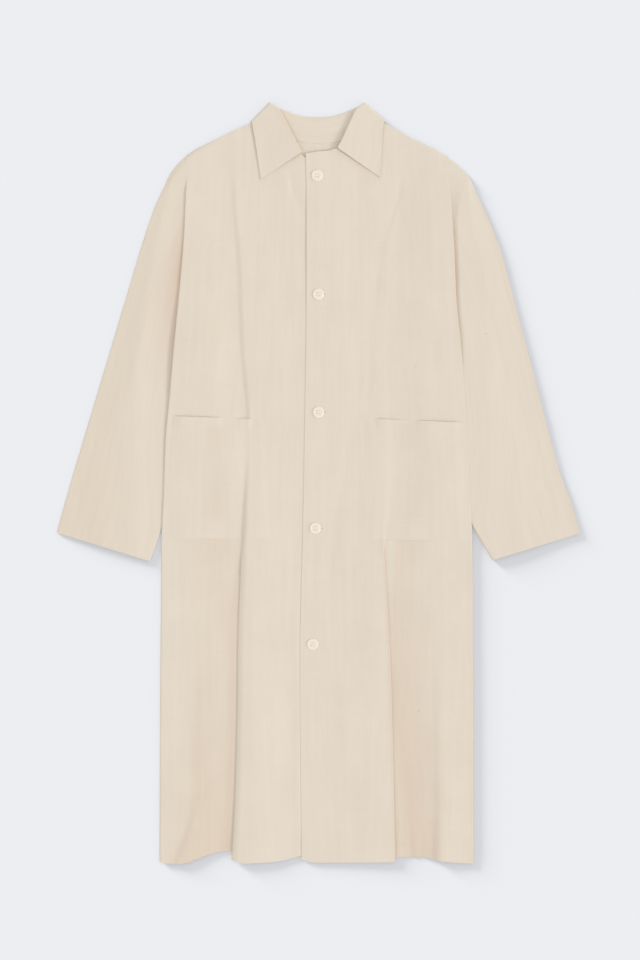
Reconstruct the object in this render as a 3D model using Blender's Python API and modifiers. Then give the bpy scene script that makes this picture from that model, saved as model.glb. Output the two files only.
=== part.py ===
"""A linen duster coat, laid flat with its front up.

Every panel is an open surface, worked out from short tables of sections, that gets its
thickness from Solidify. The tables are in millimetres and the scene is in metres.
X runs across the coat, +Y from the hem to the collar, +Z up from the surface it lies on.
Right and left are the wearer's, so the right front is on the -X side.
"""

import math
from collections import namedtuple
from types import SimpleNamespace

import bmesh
import bpy
import numpy as np

MM = 0.001
MERGE = 0.01

# Cloth
CLOTH = 1.2
COLLAR_CLOTH = 1.6
SEAM_GAP = 0.3
FLOOR_LAYER = CLOTH / 2
FLAX = (0.76, 0.68, 0.57, 1.0)
FLAX_ROUGHNESS = 0.9
SHELL_WHITE = (0.85, 0.79, 0.71, 1.0)
SHELL_ROUGHNESS = 0.45

# How the layers lie: middle heights of the cloth above the floor
FRONT_LAY = 2.7
FOLD_LAY = 2.4
SHOULDER_SEAT = 2 * CLOTH + SEAM_GAP - FLOOR_LAYER
SLEEVE_LAY = 2.3
SLEEVE_PUFF = 5.2
SHOULDER_FLUSH = 4.2

# A front climbs to its fold, is level over what is tucked under, and climbs again to its side
FOLD_CLIMB = 45.0
FOLD_LEVEL = 6.0
LEVEL_STATION = 0.8
SIDE_LEVEL = 3.0
SIDE_CLIMB_LEAST = 20.0

# Shares of a fold's and of a turned edge's stations that its bends take
FOLD_BEND_SHARE = 0.4
TURN_BEND_SHARE = 0.5

# Distances over which heights change
CAP_LOW_Y = 468.0
SLEEVE_PUFF_REACH = 45.0
SHOULDER_ROUND = 9.0

# The left front lies on the right one along the front edge
OVERLAP_RISE = 1.6
OVERLAP_FLAT = 32.0
OVERLAP_END = 64.0

# The collar's back fall lies under the back, so an oval of cloth round the neck is raised
NECK_RISE = COLLAR_CLOTH + SEAM_GAP
NECK_CENTRE_Y = 548.0
NECK_HALF_WIDTH = 118.0
NECK_HALF_LENGTH = 62.0
NECK_LEVEL = 1.15
NECK_SLOPE = 0.75

# Points at which each surface is worked out
FRONT_ROWS = [508, 505.5, 502, 496, 485, 472, 461, 451, 438, 412, 365, 312, 250, 190, 140, 105, 70,
              20, -30, -72, -93, -109, -130, -152, -200, -260, -320, -390, -460, -520, -560, -588]
FRONT_STATIONS = [0, 0.15, 0.3, 0.45, 0.6, 0.7, 0.8, 1, 1.1, 1.2, 1.3, 1.4, 1.6, 1.7, 1.8, 1.9, 2,
                  2.25, 2.5, 2.75, 3, 3.2, 3.4, 3.6, 3.8, 4, 4.5, 5]
SHOULDER_Y = 508.0
HEM_Y = -588.0
BACK_ROWS = [508, 500, 490, 475, 455, 430, 400, 260, 114, 30, -47, -130, -350, -566]
BACK_COLUMNS = 17
STATION_SAMPLES = 121
STATION_STEP = 0.01


def smoothstep(share):
    """Ease from 0 to 1 with level ends."""
    share = min(max(share, 0.0), 1.0)
    return share * share * (3 - 2 * share)


def smooth_curve(keys, values):
    """Curve through the points that bends smoothly and never overshoots them."""
    steps = np.diff(keys)
    slopes = np.diff(values) / steps
    tangents = np.zeros(len(keys))
    tangents[0] = slopes[0]
    tangents[-1] = slopes[-1]
    for i in range(1, len(keys) - 1):
        if slopes[i - 1] * slopes[i] > 0:
            before = 2 * steps[i] + steps[i - 1]
            after = steps[i] + 2 * steps[i - 1]
            tangents[i] = (before + after) / (before / slopes[i - 1] + after / slopes[i])

    def value_at(key):
        key = min(max(key, keys[0]), keys[-1])
        i = min(max(int(np.searchsorted(keys, key)) - 1, 0), len(steps) - 1)
        t = (key - keys[i]) / steps[i]
        rise = (3 - 2 * t) * t * t
        start = t * (1 - t) * (1 - t) * steps[i] * tangents[i]
        end = t * t * (t - 1) * steps[i] * tangents[i + 1]
        return float(values[i] + rise * (values[i + 1] - values[i]) + start + end)

    return value_at


class Table:
    """Rows of named columns, read as smooth curves over the first column."""

    def __init__(self, names, rows):
        data = np.array(sorted(rows), float)
        self.curves = {name: smooth_curve(data[:, 0], data[:, i + 1])
                       for i, name in enumerate(names.split()[1:])}

    def at(self, key):
        return SimpleNamespace(**{name: curve(key) for name, curve in self.curves.items()})


# Front panels. Widths are measured outwards from the middle line of the coat.
EDGE_COLUMNS = "y edge"
SIDE_COLUMNS = "y side bend radius under seat"
FOLD_COLUMNS = "y edge bend radius under"
TOP_COLUMNS = "width y"
HEM_COLUMNS = "station y"

RIGHT_FRONT = SimpleNamespace(
    sign=-1,
    overlap=0.0,
    edge=Table(EDGE_COLUMNS, [(508, -31), (-588, -31)]),
    side=Table(SIDE_COLUMNS, [
        (508, 202.0, 20, 3.0, 1.0, 4.3),
        (472, 199.4, 20, 3.0, 1.0, 4.3),
        (461, 204.6, 80, 1.6, 1.5, 4.6),
        (451, 205.3, 150, 1.3, 3.0, 4.1),
        (438, 205.6, 180, 1.2, 5.0, 3.8),
        (385, 208.0, 180, 1.2, 11.5, 3.8),
        (312, 214.0, 180, 1.2, 22.7, 3.8),
        (210, 224.0, 180, 1.2, 39.9, 3.8),
        (118, 232.0, 180, 1.2, 54.0, 3.8),
        (67, 236.5, 180, 1.2, 44.0, 3.8),
        (-18, 239.5, 180, 1.2, 25.0, 3.8),
        (-73, 242.0, 180, 1.2, 14.0, 3.8),
        (-96, 243.0, 180, 1.5, 12.0, 2.3),
        (-130, 243.2, 180, 2.0, 12.0, 0.6),
        (-337, 245.0, 180, 2.2, 12.0, 0.6),
        (-588, 246.0, 180, 2.2, 12.0, 0.6),
    ]),
    fold=Table(FOLD_COLUMNS, [
        (548, 133, 4, 30.0, 3.0),
        (459, 130, 10, 20.0, 3.0),
        (331, 121.5, 12, 18.0, 3.0),
        (202, 116, 15, 15.0, 3.0),
        (109, 108, 18, 10.0, 3.0),
        (20, 111, 24, 8.0, 3.0),
        (-72, 117, 30, 6.0, 2.5),
        (-93, 118, 52, 3.4, 1.5),
        (-109, 118.5, 95, 1.8, 1.2),
        (-130, 119, 145, 1.6, 2.5),
        (-152, 120, 180, 1.5, 5.0),
        (-248, 121, 180, 1.5, 10.0),
        (-352, 121.5, 180, 1.5, 14.0),
        (-476, 124, 180, 1.5, 18.0),
        (-588, 130, 180, 1.6, 23.0),
    ]),
    top=Table(TOP_COLUMNS, [
        (-31, 503), (20, 505), (24, 508), (61, 539), (95, 562.5),
        (106, 558), (122, 551), (147, 539), (175, 525), (204, 508),
    ]),
    hem=Table(HEM_COLUMNS, [
        (0, -582), (0.3, -588), (0.9, -590), (1, -588), (1.5, -575), (2, -568),
        (2.35, -573), (2.8, -591), (3, -589), (4, -583), (5, -580),
    ]),
)

LEFT_FRONT = SimpleNamespace(
    sign=1,
    overlap=OVERLAP_RISE,
    edge=Table(EDGE_COLUMNS, [(508, -19), (446, -18), (315, -18), (67, -21), (-88, -24),
                              (-275, -28), (-588, -25.5)]),
    side=Table(SIDE_COLUMNS, [
        (508, 198.5, 20, 3.0, 1.0, 4.3),
        (472, 195.8, 20, 3.0, 1.0, 4.3),
        (461, 203.6, 80, 1.6, 1.5, 4.6),
        (451, 205.0, 150, 1.3, 3.0, 4.1),
        (438, 206.2, 180, 1.2, 9.0, 3.8),
        (351, 211.0, 180, 1.2, 20.5, 3.8),
        (284, 214.0, 180, 1.2, 28.5, 3.8),
        (218, 221.0, 180, 1.2, 40.0, 3.8),
        (118, 228.4, 180, 1.2, 54.5, 3.8),
        (67, 231.0, 180, 1.2, 43.0, 3.8),
        (-39, 236.0, 180, 1.2, 20.0, 3.8),
        (-73, 238.0, 180, 1.2, 14.0, 3.8),
        (-96, 238.5, 180, 1.5, 12.0, 2.3),
        (-130, 239.0, 180, 2.0, 12.0, 0.6),
        (-588, 240.0, 180, 2.2, 12.0, 0.6),
    ]),
    fold=Table(FOLD_COLUMNS, [
        (540, 128, 4, 30.0, 3.0),
        (443, 122, 8, 22.0, 3.0),
        (300, 104, 8, 22.0, 3.0),
        (180, 98, 9, 20.0, 3.0),
        (110, 96.5, 14, 12.0, 3.0),
        (67, 98, 22, 8.0, 3.0),
        (0, 99, 26, 7.0, 3.0),
        (-72, 99.5, 32, 5.5, 2.0),
        (-93, 100.5, 55, 3.2, 1.5),
        (-109, 101.5, 100, 1.7, 1.2),
        (-130, 103, 150, 1.5, 2.5),
        (-152, 104.5, 180, 1.4, 4.0),
        (-202, 108, 180, 1.4, 7.0),
        (-340, 114, 180, 1.4, 13.0),
        (-588, 119, 180, 1.4, 20.0),
    ]),
    top=Table(TOP_COLUMNS, [
        (-19, 511.5), (-2, 514), (18, 516), (28, 519), (36, 517), (65, 541), (92, 561.5),
        (104, 557.5), (120, 548.5), (148, 533), (176, 520), (200.5, 506),
    ]),
    hem=Table(HEM_COLUMNS, [
        (0, -584), (0.15, -589), (1, -588), (1.5, -583), (2, -581), (2.45, -580),
        (2.7, -587), (3, -590), (4, -588), (5, -585),
    ]),
)
FRONT_NECK_CORNER = 95.0

# Back panel: widths of its two side edges, and the top edge along the neck and shoulders
BACK_SIDE = Table("y right left", [
    (508, 202.0, 198.4), (114, 174.6, 170.6), (-47, 225.0, 222.0),
    (-130, 228.9, 224.7), (-566, 231.4, 225.4),
])
BACK_TOP = Table("x y", [
    (-204, 508), (-175, 525), (-147, 539), (-122, 551), (-106, 558), (-95, 562.5), (-80, 556.5),
    (-62, 544), (-40, 534), (-19, 529.5), (0, 528), (20, 529.5), (40, 534), (62, 544), (80, 556.5),
    (92, 561.5), (104, 557.5), (120, 548.5), (148, 533), (176, 520), (200.5, 506),
])
BACK_HEM_Y = -566.0

# Sleeves: plan points where each ring meets the outer fold and the underarm fold
Ring = namedtuple("Ring", "outer_x outer_y inner_x inner_y")
RIGHT_RINGS = [
    (204, 508, 176, 113), (216, 494, 177.8, 108), (229, 480, 180, 102), (239, 459, 183, 94),
    (252, 431, 187, 83), (265, 395, 192.5, 68), (277, 357, 199, 50), (304, 267, 213, 12),
    (331, 177, 224, -18), (358, 87, 234, -46), (384, 0, 244, -73), (396, -42, 252, -95),
    (405.5, -77, 262, -121),
]
LEFT_RINGS = [
    (200.5, 506, 172, 113), (221, 488, 174, 108), (235, 472, 176.3, 102), (243, 453, 179, 94),
    (255, 427, 183.3, 83), (267, 401, 189, 68), (282, 362, 195.7, 50), (305, 276, 210, 12),
    (328, 190, 221, -18), (350, 105, 231.5, -46), (373, 20, 241, -69), (392, -32, 255, -93),
    (405.5, -78, 271, -120),
]
RIGHT_SLEEVE = SimpleNamespace(sign=-1, front=RIGHT_FRONT, rings=[Ring(*row) for row in RIGHT_RINGS])
LEFT_SLEEVE = SimpleNamespace(sign=1, front=LEFT_FRONT, rings=[Ring(*row) for row in LEFT_RINGS])
SLEEVE_SHARES = [0.05, 0.12, 0.22, 0.36, 0.5, 0.64, 0.78, 0.9]
SLEEVE_BACK_SHARES = [0.25, 0.5, 0.75]
ROLL_STEPS = 4

# Collar: plan points of the neck seam, roll line and outer edge, with the heights of the stand
# and of the fall at the roll and at the outer edge. Rows run from the front end to the shoulder.
COLLAR_COLUMNS = "row neck_x neck_y roll_x roll_y outer_x outer_y stand fall edge"
RIGHT_LEAF = Table(COLLAR_COLUMNS, [
    (0, -28.5, 511, -24.5, 513.5, -89, 471, 6.3, 9.6, 6.2),
    (1, -37.5, 518, -31, 524, -91.5, 488, 6.3, 10.4, 6.6),
    (2, -48.5, 528.5, -40, 541, -94, 505, 6.3, 10.9, 6.9),
    (3, -61.5, 538.5, -51, 562, -97, 527, 6.3, 10.9, 7.4),
    (4, -77, 553, -62.5, 581, -100.5, 546, 6.3, 10.7, 8.2),
    (5, -90, 566, -72.5, 587.5, -102.5, 559, 6.3, 10.4, 9.0),
])
RIGHT_NAPE = Table(COLLAR_COLUMNS, [
    (0, -90, 566, -72.5, 587.5, -102.5, 559, 4.2, 0.8, 0.8),
    (1, -80, 556, -66, 584, -92, 541, 4.2, 0.8, 0.8),
    (2, -62, 543, -50, 577, -72, 523, 4.2, 0.8, 0.8),
    (3, -40, 533, -32, 570.5, -45, 510, 4.2, 0.8, 0.8),
    (4, -19, 528.5, -16, 567.5, -20, 504, 4.2, 0.8, 0.8),
    (5, 0, 527, 0, 567, 0, 502, 4.2, 0.8, 0.8),
])
LEFT_LEAF = Table(COLLAR_COLUMNS, [
    (0, 34, 514.5, 30, 520, 96, 474, 8.1, 11.2, 6.6),
    (1, 42, 520.5, 35, 529, 97.5, 490, 7.7, 11.4, 6.8),
    (2, 53, 530.5, 41, 542, 98.5, 507, 7.0, 11.4, 7.0),
    (3, 65, 541.5, 49.5, 561, 99.5, 528, 6.5, 11.0, 7.4),
    (4, 77, 554, 60, 581, 100.5, 547, 6.3, 10.7, 8.2),
    (5, 87, 566, 69, 587, 102, 559, 6.3, 10.4, 9.0),
])
LEFT_NAPE = Table(COLLAR_COLUMNS, [
    (0, 87, 566, 69, 587, 102, 559, 4.2, 0.8, 0.8),
    (1, 79, 556.5, 63, 584.5, 92, 541, 4.2, 0.8, 0.8),
    (2, 62, 543, 49, 578, 72, 523, 4.2, 0.8, 0.8),
    (3, 40, 533, 32, 571.5, 45, 510, 4.2, 0.8, 0.8),
    (4, 20, 528.5, 17, 568, 20, 504, 4.2, 0.8, 0.8),
    (5, 0, 527, 0, 567, 0, 502, 4.2, 0.8, 0.8),
])
COLLAR_LAST_ROW = 5
STAND_SHARES = [0, 0.5, 1]
FALL_SHARES = [0.25, 0.5, 0.75, 1]
ROLL_TURNS = 6
CREASE_TURNS = 6
FALL_EASE = 1.6

# Patch pockets
POCKET_LAYER = CLOTH + 1.5 * SEAM_GAP
POCKET_GAPE = 1.3
POCKET_GAPE_DEPTH = 28.0
POCKETS = {
    "right_pocket": SimpleNamespace(front=RIGHT_FRONT, inner=74.0, inset=9.0,
                                    top_inner=102.0, top_outer=105.0, bottom=-86.0),
    "left_pocket": SimpleNamespace(front=LEFT_FRONT, inner=72.0, inset=4.5,
                                   top_inner=102.0, top_outer=95.0, bottom=-88.0),
}
POCKET_ROWS = 8
POCKET_STATIONS = [0.8, 1, 1.1, 1.2, 1.3, 1.4, 1.6, 1.7, 1.8, 1.9, 2, 2.25, 2.5, 2.75]

# Buttons
BUTTON_RADIUS = 9.0
BUTTON_THICKNESS = 3.0
BUTTON_RIM = 1.6
BUTTON_WELL = 0.9
BUTTON_WAIST = 0.6
BUTTON_HOLE_RADIUS = 0.9
BUTTON_HOLE_OFFSET = 2.1
BUTTON_HOLE_SIDES = 8
BUTTON_STEPS = 16
BUTTON_SHARP_ANGLE = 35
BUTTON_PLACES = [(-2, 477), (0, 293), (0, 110), (-5, -70), (-9, -250)]


def finish(name, colour, roughness):
    """Material of one colour and roughness, not metallic."""
    material = bpy.data.materials.new(name)
    material.use_nodes = True
    shader = material.node_tree.nodes["Principled BSDF"]
    shader.inputs["Base Color"].default_value = colour
    shader.inputs["Roughness"].default_value = roughness
    shader.inputs["Metallic"].default_value = 0.0
    return material


def add_object(name, mesh, material):
    """Put a mesh into the coat's collection under its parent empty."""
    obj = bpy.data.objects.new(name, mesh)
    bpy.data.collections["linen_coat"].objects.link(obj)
    obj.parent = bpy.data.objects["coat_origin"]
    mesh.materials.append(material)
    return obj


def cloth_piece(name, points, thickness, material, closed=False):
    """Give a grid of points, in millimetres, the thickness of cloth."""
    rows = len(points)
    columns = len(points[0])
    grid = bmesh.new()
    bmesh.ops.create_grid(grid, x_segments=columns - 1, y_segments=rows - 1, size=0.5)
    for vertex in grid.verts:
        column = round((vertex.co.x + 0.5) * (columns - 1))
        row = round((vertex.co.y + 0.5) * (rows - 1))
        vertex.co = [value * MM for value in points[row][column]]
    if closed:
        bmesh.ops.remove_doubles(grid, verts=grid.verts, dist=MERGE * MM)
    bmesh.ops.recalc_face_normals(grid, faces=grid.faces)
    mesh = bpy.data.meshes.new(name)
    grid.to_mesh(mesh)
    grid.free()
    mesh.shade_smooth()
    obj = add_object(name, mesh, material)
    shell = obj.modifiers.new("Cloth", "SOLIDIFY")
    shell.thickness = thickness * MM
    shell.offset = 0
    return obj


def neck_rise(x, y):
    """Height by which the collar's back fall raises the cloth round the neck."""
    reach = math.hypot(x / NECK_HALF_WIDTH, (y - NECK_CENTRE_Y) / NECK_HALF_LENGTH)
    return NECK_RISE * (1 - smoothstep((reach - NECK_LEVEL) / NECK_SLOPE))


def fold_step(fold, share):
    """Steps out and down at a share of a fold: a bend, a flat return and a bend back."""
    angle = math.radians(fold.bend)
    flat_share = 1 - 2 * FOLD_BEND_SHARE
    first = angle * min(share / FOLD_BEND_SHARE, 1)
    flat = fold.under * min(max((share - FOLD_BEND_SHARE) / flat_share, 0), 1)
    last = angle * max((share - FOLD_BEND_SHARE - flat_share) / FOLD_BEND_SHARE, 0)
    out = fold.radius * (math.sin(first) + math.sin(angle) - math.sin(angle - last))
    down = fold.radius * (1 - math.cos(first) + math.cos(angle - last) - math.cos(angle))
    return out + flat * math.cos(angle), down + flat * math.sin(angle)


def turn_step(turn, share):
    """Steps out and down at a share of an edge that is turned under: a bend and a return."""
    angle = math.radians(turn.bend)
    bent = angle * min(share / TURN_BEND_SHARE, 1)
    flat = turn.under * max((share - TURN_BEND_SHARE) / (1 - TURN_BEND_SHARE), 0)
    out = turn.radius * math.sin(bent) + flat * math.cos(angle)
    down = turn.radius * (1 - math.cos(bent)) + flat * math.sin(angle)
    return out, down


def front_section(front, y, station):
    """Width and height of a front at a station of its cross section.

    Stations 0 to 1 run from the front edge to the fold, 1 to 2 round the fold, 2 to 3 over
    the side part and 3 to 5 round the side and back under it.
    """
    fold = front.fold.at(y)
    side = front.side.at(y)
    fold_out, fold_down = fold_step(fold, 1)
    turn_out, turn_down = turn_step(side, 1)
    fold_start = fold.edge - fold.radius * math.sin(math.radians(min(fold.bend, 90)))
    widest = TURN_BEND_SHARE * 90 / max(side.bend, 90)
    turn_start = side.side - max(turn_out, turn_step(side, widest)[0])
    turn_top = side.seat + turn_down
    if station <= 1:
        edge = front.edge.at(y).edge
        level = fold_start - max(-fold_out, 0) - FOLD_LEVEL
        if station <= LEVEL_STATION:
            width = edge + (level - edge) * station / LEVEL_STATION
        else:
            width = level + (fold_start - level) * (station - LEVEL_STATION) / (1 - LEVEL_STATION)
        climb = smoothstep((width - level + FOLD_CLIMB) / FOLD_CLIMB)
        height = FRONT_LAY + (FOLD_LAY + fold_down - FRONT_LAY) * climb
        reach = (width - OVERLAP_FLAT) / (OVERLAP_END - OVERLAP_FLAT)
        return width, height + front.overlap * (1 - smoothstep(reach))
    if station <= 2:
        out, down = fold_step(fold, station - 1)
        return fold_start + out, FOLD_LAY + fold_down - down
    if station <= 3:
        inner = fold_start + fold_out
        width = inner + (turn_start - inner) * (station - 2)
        climb = max(turn_start + turn_out - SIDE_LEVEL - inner, SIDE_CLIMB_LEAST)
        return width, FOLD_LAY + (turn_top - FOLD_LAY) * smoothstep((width - inner) / climb)
    out, down = turn_step(side, (station - 3) / 2)
    return turn_start + out, turn_top - down


def front_point(front, nominal_y, station):
    """Point of a front, on the row that reaches the side at nominal_y."""
    share = (nominal_y - HEM_Y) / (SHOULDER_Y - HEM_Y)
    hem = front.hem.at(station).y
    top = SHOULDER_Y
    for _ in range(3):
        width = front_section(front, top, min(station, 3))[0]
        top = front.top.at(width).y
    y = hem + (top - hem) * share
    width, height = front_section(front, y, station)
    rise = neck_rise(width, y)
    if width > FRONT_NECK_CORNER:
        inside = min(max((top - y) / SHOULDER_ROUND, 0), 1)
        rounded = math.sqrt(1 - (1 - inside) ** 2)
        height = SHOULDER_SEAT + (height - SHOULDER_SEAT) * rounded
    return front.sign * width, y, height + rise


def build_front(name, front, material):
    """One front, with its fold and the side that is turned under."""
    points = [[front_point(front, y, station) for station in FRONT_STATIONS]
              for y in FRONT_ROWS]
    return cloth_piece(name, points, CLOTH, material)


def build_back(material):
    """The back, flat on the floor and raised over the collar's fall at the neck."""
    points = []
    shoulder = BACK_SIDE.at(SHOULDER_Y)
    for side_y in BACK_ROWS:
        share = (side_y - BACK_HEM_Y) / (SHOULDER_Y - BACK_HEM_Y)
        side = BACK_SIDE.at(side_y)
        row = []
        for column in range(BACK_COLUMNS):
            across = column / (BACK_COLUMNS - 1)
            top_x = -shoulder.right + (shoulder.right + shoulder.left) * across
            x = -side.right + (side.right + side.left) * across
            y = BACK_HEM_Y + (BACK_TOP.at(top_x).y - BACK_HEM_Y) * share
            row.append((x, y, FLOOR_LAYER + neck_rise(x, y)))
        points.append(row)
    return cloth_piece("back", points, CLOTH, material)


def sleeve_height(front, width, y):
    """Height of a sleeve's upper layer: low where the front lies on it, fuller outside."""
    cap = smoothstep((y - CAP_LOW_Y) / (SHOULDER_Y - CAP_LOW_Y))
    base = SLEEVE_LAY + (SHOULDER_FLUSH - SLEEVE_LAY) * cap
    outside = width - front.side.at(y).side
    return base + (SLEEVE_PUFF - base) * smoothstep(outside / SLEEVE_PUFF_REACH)


def edge_normals(points, sign):
    """Plan directions square to a line of points, on its outer or inner side."""
    tangents = np.gradient(np.array(points, float), axis=0)
    normals = sign * np.stack([-tangents[:, 1], tangents[:, 0]], axis=1)
    return normals / np.linalg.norm(normals, axis=1)[:, None]


def build_sleeve(name, sleeve, material):
    """One sleeve, a flat tube from the armhole to the open cuff."""
    outer_points = [(ring.outer_x, ring.outer_y) for ring in sleeve.rings]
    inner_points = [(ring.inner_x, ring.inner_y) for ring in sleeve.rings]
    outward = edge_normals(outer_points, 1)
    inward = edge_normals(inner_points, -1)
    points = []
    for number in range(len(sleeve.rings)):
        outer_radius = (sleeve_height(sleeve.front, *outer_points[number]) - FLOOR_LAYER) / 2
        inner_radius = (sleeve_height(sleeve.front, *inner_points[number]) - FLOOR_LAYER) / 2
        outer = np.array(outer_points[number]) - outward[number] * outer_radius
        inner = np.array(inner_points[number]) - inward[number] * inner_radius
        ring = []
        for share in SLEEVE_SHARES:
            place = outer + (inner - outer) * share
            ring.append((place, sleeve_height(sleeve.front, *place)))
        for step in range(ROLL_STEPS + 1):
            turn = math.pi * step / ROLL_STEPS
            place = inner + inward[number] * inner_radius * math.sin(turn)
            ring.append((place, FLOOR_LAYER + inner_radius * (1 + math.cos(turn))))
        for share in SLEEVE_BACK_SHARES:
            ring.append((inner + (outer - inner) * share, FLOOR_LAYER))
        for step in range(ROLL_STEPS + 1):
            turn = math.pi * step / ROLL_STEPS
            place = outer + outward[number] * outer_radius * math.sin(turn)
            ring.append((place, FLOOR_LAYER + outer_radius * (1 - math.cos(turn))))
        points.append([(sleeve.sign * place[0], place[1], height) for place, height in ring])
    return cloth_piece(name, points, CLOTH, material, closed=True)


def collar_row(row):
    """Points across the collar, from the neck seam over the roll to the outer edge."""
    reach = math.hypot(row.roll_x - row.neck_x, row.roll_y - row.neck_y)
    along_x = (row.roll_x - row.neck_x) / reach
    along_y = (row.roll_y - row.neck_y) / reach
    radius = abs(row.fall - row.stand) / 2
    base_x = row.roll_x - along_x * radius
    base_y = row.roll_y - along_y * radius
    points = []
    for share in STAND_SHARES:
        x = row.neck_x + (base_x - row.neck_x) * share
        y = row.neck_y + (base_y - row.neck_y) * share
        points.append((x, y, row.stand))
    for step in range(1, ROLL_TURNS + 1):
        turn = math.pi * step / ROLL_TURNS
        bulge = radius * math.sin(turn)
        height = row.stand + (row.fall - row.stand) * (1 - math.cos(turn)) / 2
        points.append((base_x + along_x * bulge, base_y + along_y * bulge, height))
    for share in FALL_SHARES:
        height = row.edge + (row.fall - row.edge) * (1 - share) ** FALL_EASE
        x = base_x + (row.outer_x - base_x) * share
        y = base_y + (row.outer_y - base_y) * share
        points.append((x, y, height))
    return points


def shoulder_crease(leaf_row, nape_row, sign):
    """Rows that turn the collar over the shoulder, from the leaf in front to the nape."""
    roll_start = leaf_row[len(STAND_SHARES) - 1]
    run_x = leaf_row[-1][0] - roll_start[0]
    run_y = leaf_row[-1][1] - roll_start[1]
    run = math.hypot(run_x, run_y)
    out_x = sign * abs(run_y) / run
    out_y = abs(run_x) / run
    rows = []
    for step in range(1, CREASE_TURNS):
        turn = math.pi * step / CREASE_TURNS
        share = step / CREASE_TURNS
        row = []
        for front, behind in zip(leaf_row, nape_row):
            radius = (front[2] - behind[2]) / 2
            bulge = radius * math.sin(turn)
            x = front[0] + (behind[0] - front[0]) * share + out_x * bulge
            y = front[1] + (behind[1] - front[1]) * share + out_y * bulge
            row.append((x, y, (front[2] + behind[2]) / 2 + radius * math.cos(turn)))
        rows.append(row)
    return rows


def collar_half(leaf, nape, sign):
    """Rows of one half of the collar, from its front end to the middle of the back."""
    numbers = range(COLLAR_LAST_ROW + 1)
    leaf_rows = [collar_row(leaf.at(number)) for number in numbers]
    nape_rows = [collar_row(nape.at(number)) for number in numbers]
    return leaf_rows + shoulder_crease(leaf_rows[-1], nape_rows[0], sign) + nape_rows


def build_collar(material):
    """The collar in one piece, folded over at both shoulders."""
    right = collar_half(RIGHT_LEAF, RIGHT_NAPE, -1)
    left = collar_half(LEFT_LEAF, LEFT_NAPE, 1)
    points = right + left[-2::-1]
    return cloth_piece("collar", points, COLLAR_CLOTH, material)


def station_at(front, width, y):
    """Station of a front at a width, away from its turned-under folds."""
    stations = np.linspace(0, 3, STATION_SAMPLES)
    widths = [front_section(front, y, station)[0] for station in stations]
    return float(np.interp(width, widths, stations))


def front_height(front, width, y):
    """Height of a front's middle at a width."""
    return front_section(front, y, station_at(front, width, y))[1] + neck_rise(width, y)


def pocket_point(pocket, y, station):
    """Point of a front moved out by a layer, square to its section."""
    width, height = front_section(pocket.front, y, station)
    before = front_section(pocket.front, y, station - STATION_STEP)
    after = front_section(pocket.front, y, station + STATION_STEP)
    run = math.hypot(after[0] - before[0], after[1] - before[1])
    width -= POCKET_LAYER * (after[1] - before[1]) / run
    height += POCKET_LAYER * (after[0] - before[0]) / run
    return pocket.front.sign * width, y, height


def build_pocket(name, pocket, material):
    """A patch pocket made from the front's own points, moved out by a layer."""
    points = []
    for row in range(POCKET_ROWS):
        down = row / (POCKET_ROWS - 1)
        middle_y = pocket.top_inner + (pocket.bottom - pocket.top_inner) * down
        outer = pocket.front.side.at(middle_y).side - pocket.inset
        first = station_at(pocket.front, pocket.inner, middle_y)
        last = station_at(pocket.front, outer, middle_y)
        line = []
        for station in [first] + POCKET_STATIONS + [last]:
            across = (station - first) / (last - first)
            top = pocket.top_inner + (pocket.top_outer - pocket.top_inner) * across
            y = top + (pocket.bottom - top) * down
            x, y, height = pocket_point(pocket, y, station)
            gape = POCKET_GAPE * (1 - smoothstep((top - y) / POCKET_GAPE_DEPTH))
            line.append((x, y, height + gape * math.sin(math.pi * across)))
        points.append(line)
    return cloth_piece(name, points, CLOTH, material)


def button_mesh():
    """A turned button with a raised rim and four holes through its well."""
    profile = [
        (0, BUTTON_THICKNESS - BUTTON_WELL),
        (BUTTON_RADIUS - 2 * BUTTON_RIM, BUTTON_THICKNESS - BUTTON_WELL),
        (BUTTON_RADIUS - BUTTON_RIM, BUTTON_THICKNESS),
        (BUTTON_RADIUS - BUTTON_RIM / 3, BUTTON_THICKNESS - BUTTON_RIM / 6),
        (BUTTON_RADIUS, BUTTON_THICKNESS * BUTTON_WAIST),
        (BUTTON_RADIUS - BUTTON_RIM, 0),
        (0, 0),
    ]
    mesh = bpy.data.meshes.new("button_profile")
    vertices = [(radius * MM, 0, height * MM) for radius, height in profile]
    edges = [(i, i + 1) for i in range(len(profile) - 1)]
    mesh.from_pydata(vertices, edges, [])
    turned = bpy.data.objects.new("button_turned", mesh)
    bpy.context.scene.collection.objects.link(turned)
    screw = turned.modifiers.new("Turned", "SCREW")
    screw.steps = BUTTON_STEPS
    screw.render_steps = BUTTON_STEPS
    screw.use_merge_vertices = True
    screw.merge_threshold = MERGE * MM
    cutters = []
    for quarter in range(4):
        angle = math.radians(45 + 90 * quarter)
        offset = BUTTON_HOLE_OFFSET * math.sqrt(2) * MM
        bpy.ops.mesh.primitive_cylinder_add(
            vertices=BUTTON_HOLE_SIDES, radius=BUTTON_HOLE_RADIUS * MM,
            depth=4 * BUTTON_THICKNESS * MM,
            location=(offset * math.cos(angle), offset * math.sin(angle), 0))
        cutter = bpy.context.object
        cutter.hide_render = True
        cutter.display_type = "WIRE"
        cutters.append(cutter)
        hole = turned.modifiers.new("Hole", "BOOLEAN")
        hole.operation = "DIFFERENCE"
        hole.solver = "EXACT"
        hole.object = cutter
    graph = bpy.context.evaluated_depsgraph_get()
    result = bpy.data.meshes.new_from_object(turned.evaluated_get(graph))
    for helper in [turned] + cutters:
        bpy.data.objects.remove(helper)
    result.name = "button"
    result.shade_smooth()
    result.set_sharp_from_angle(angle=math.radians(BUTTON_SHARP_ANGLE))
    return result


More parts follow.
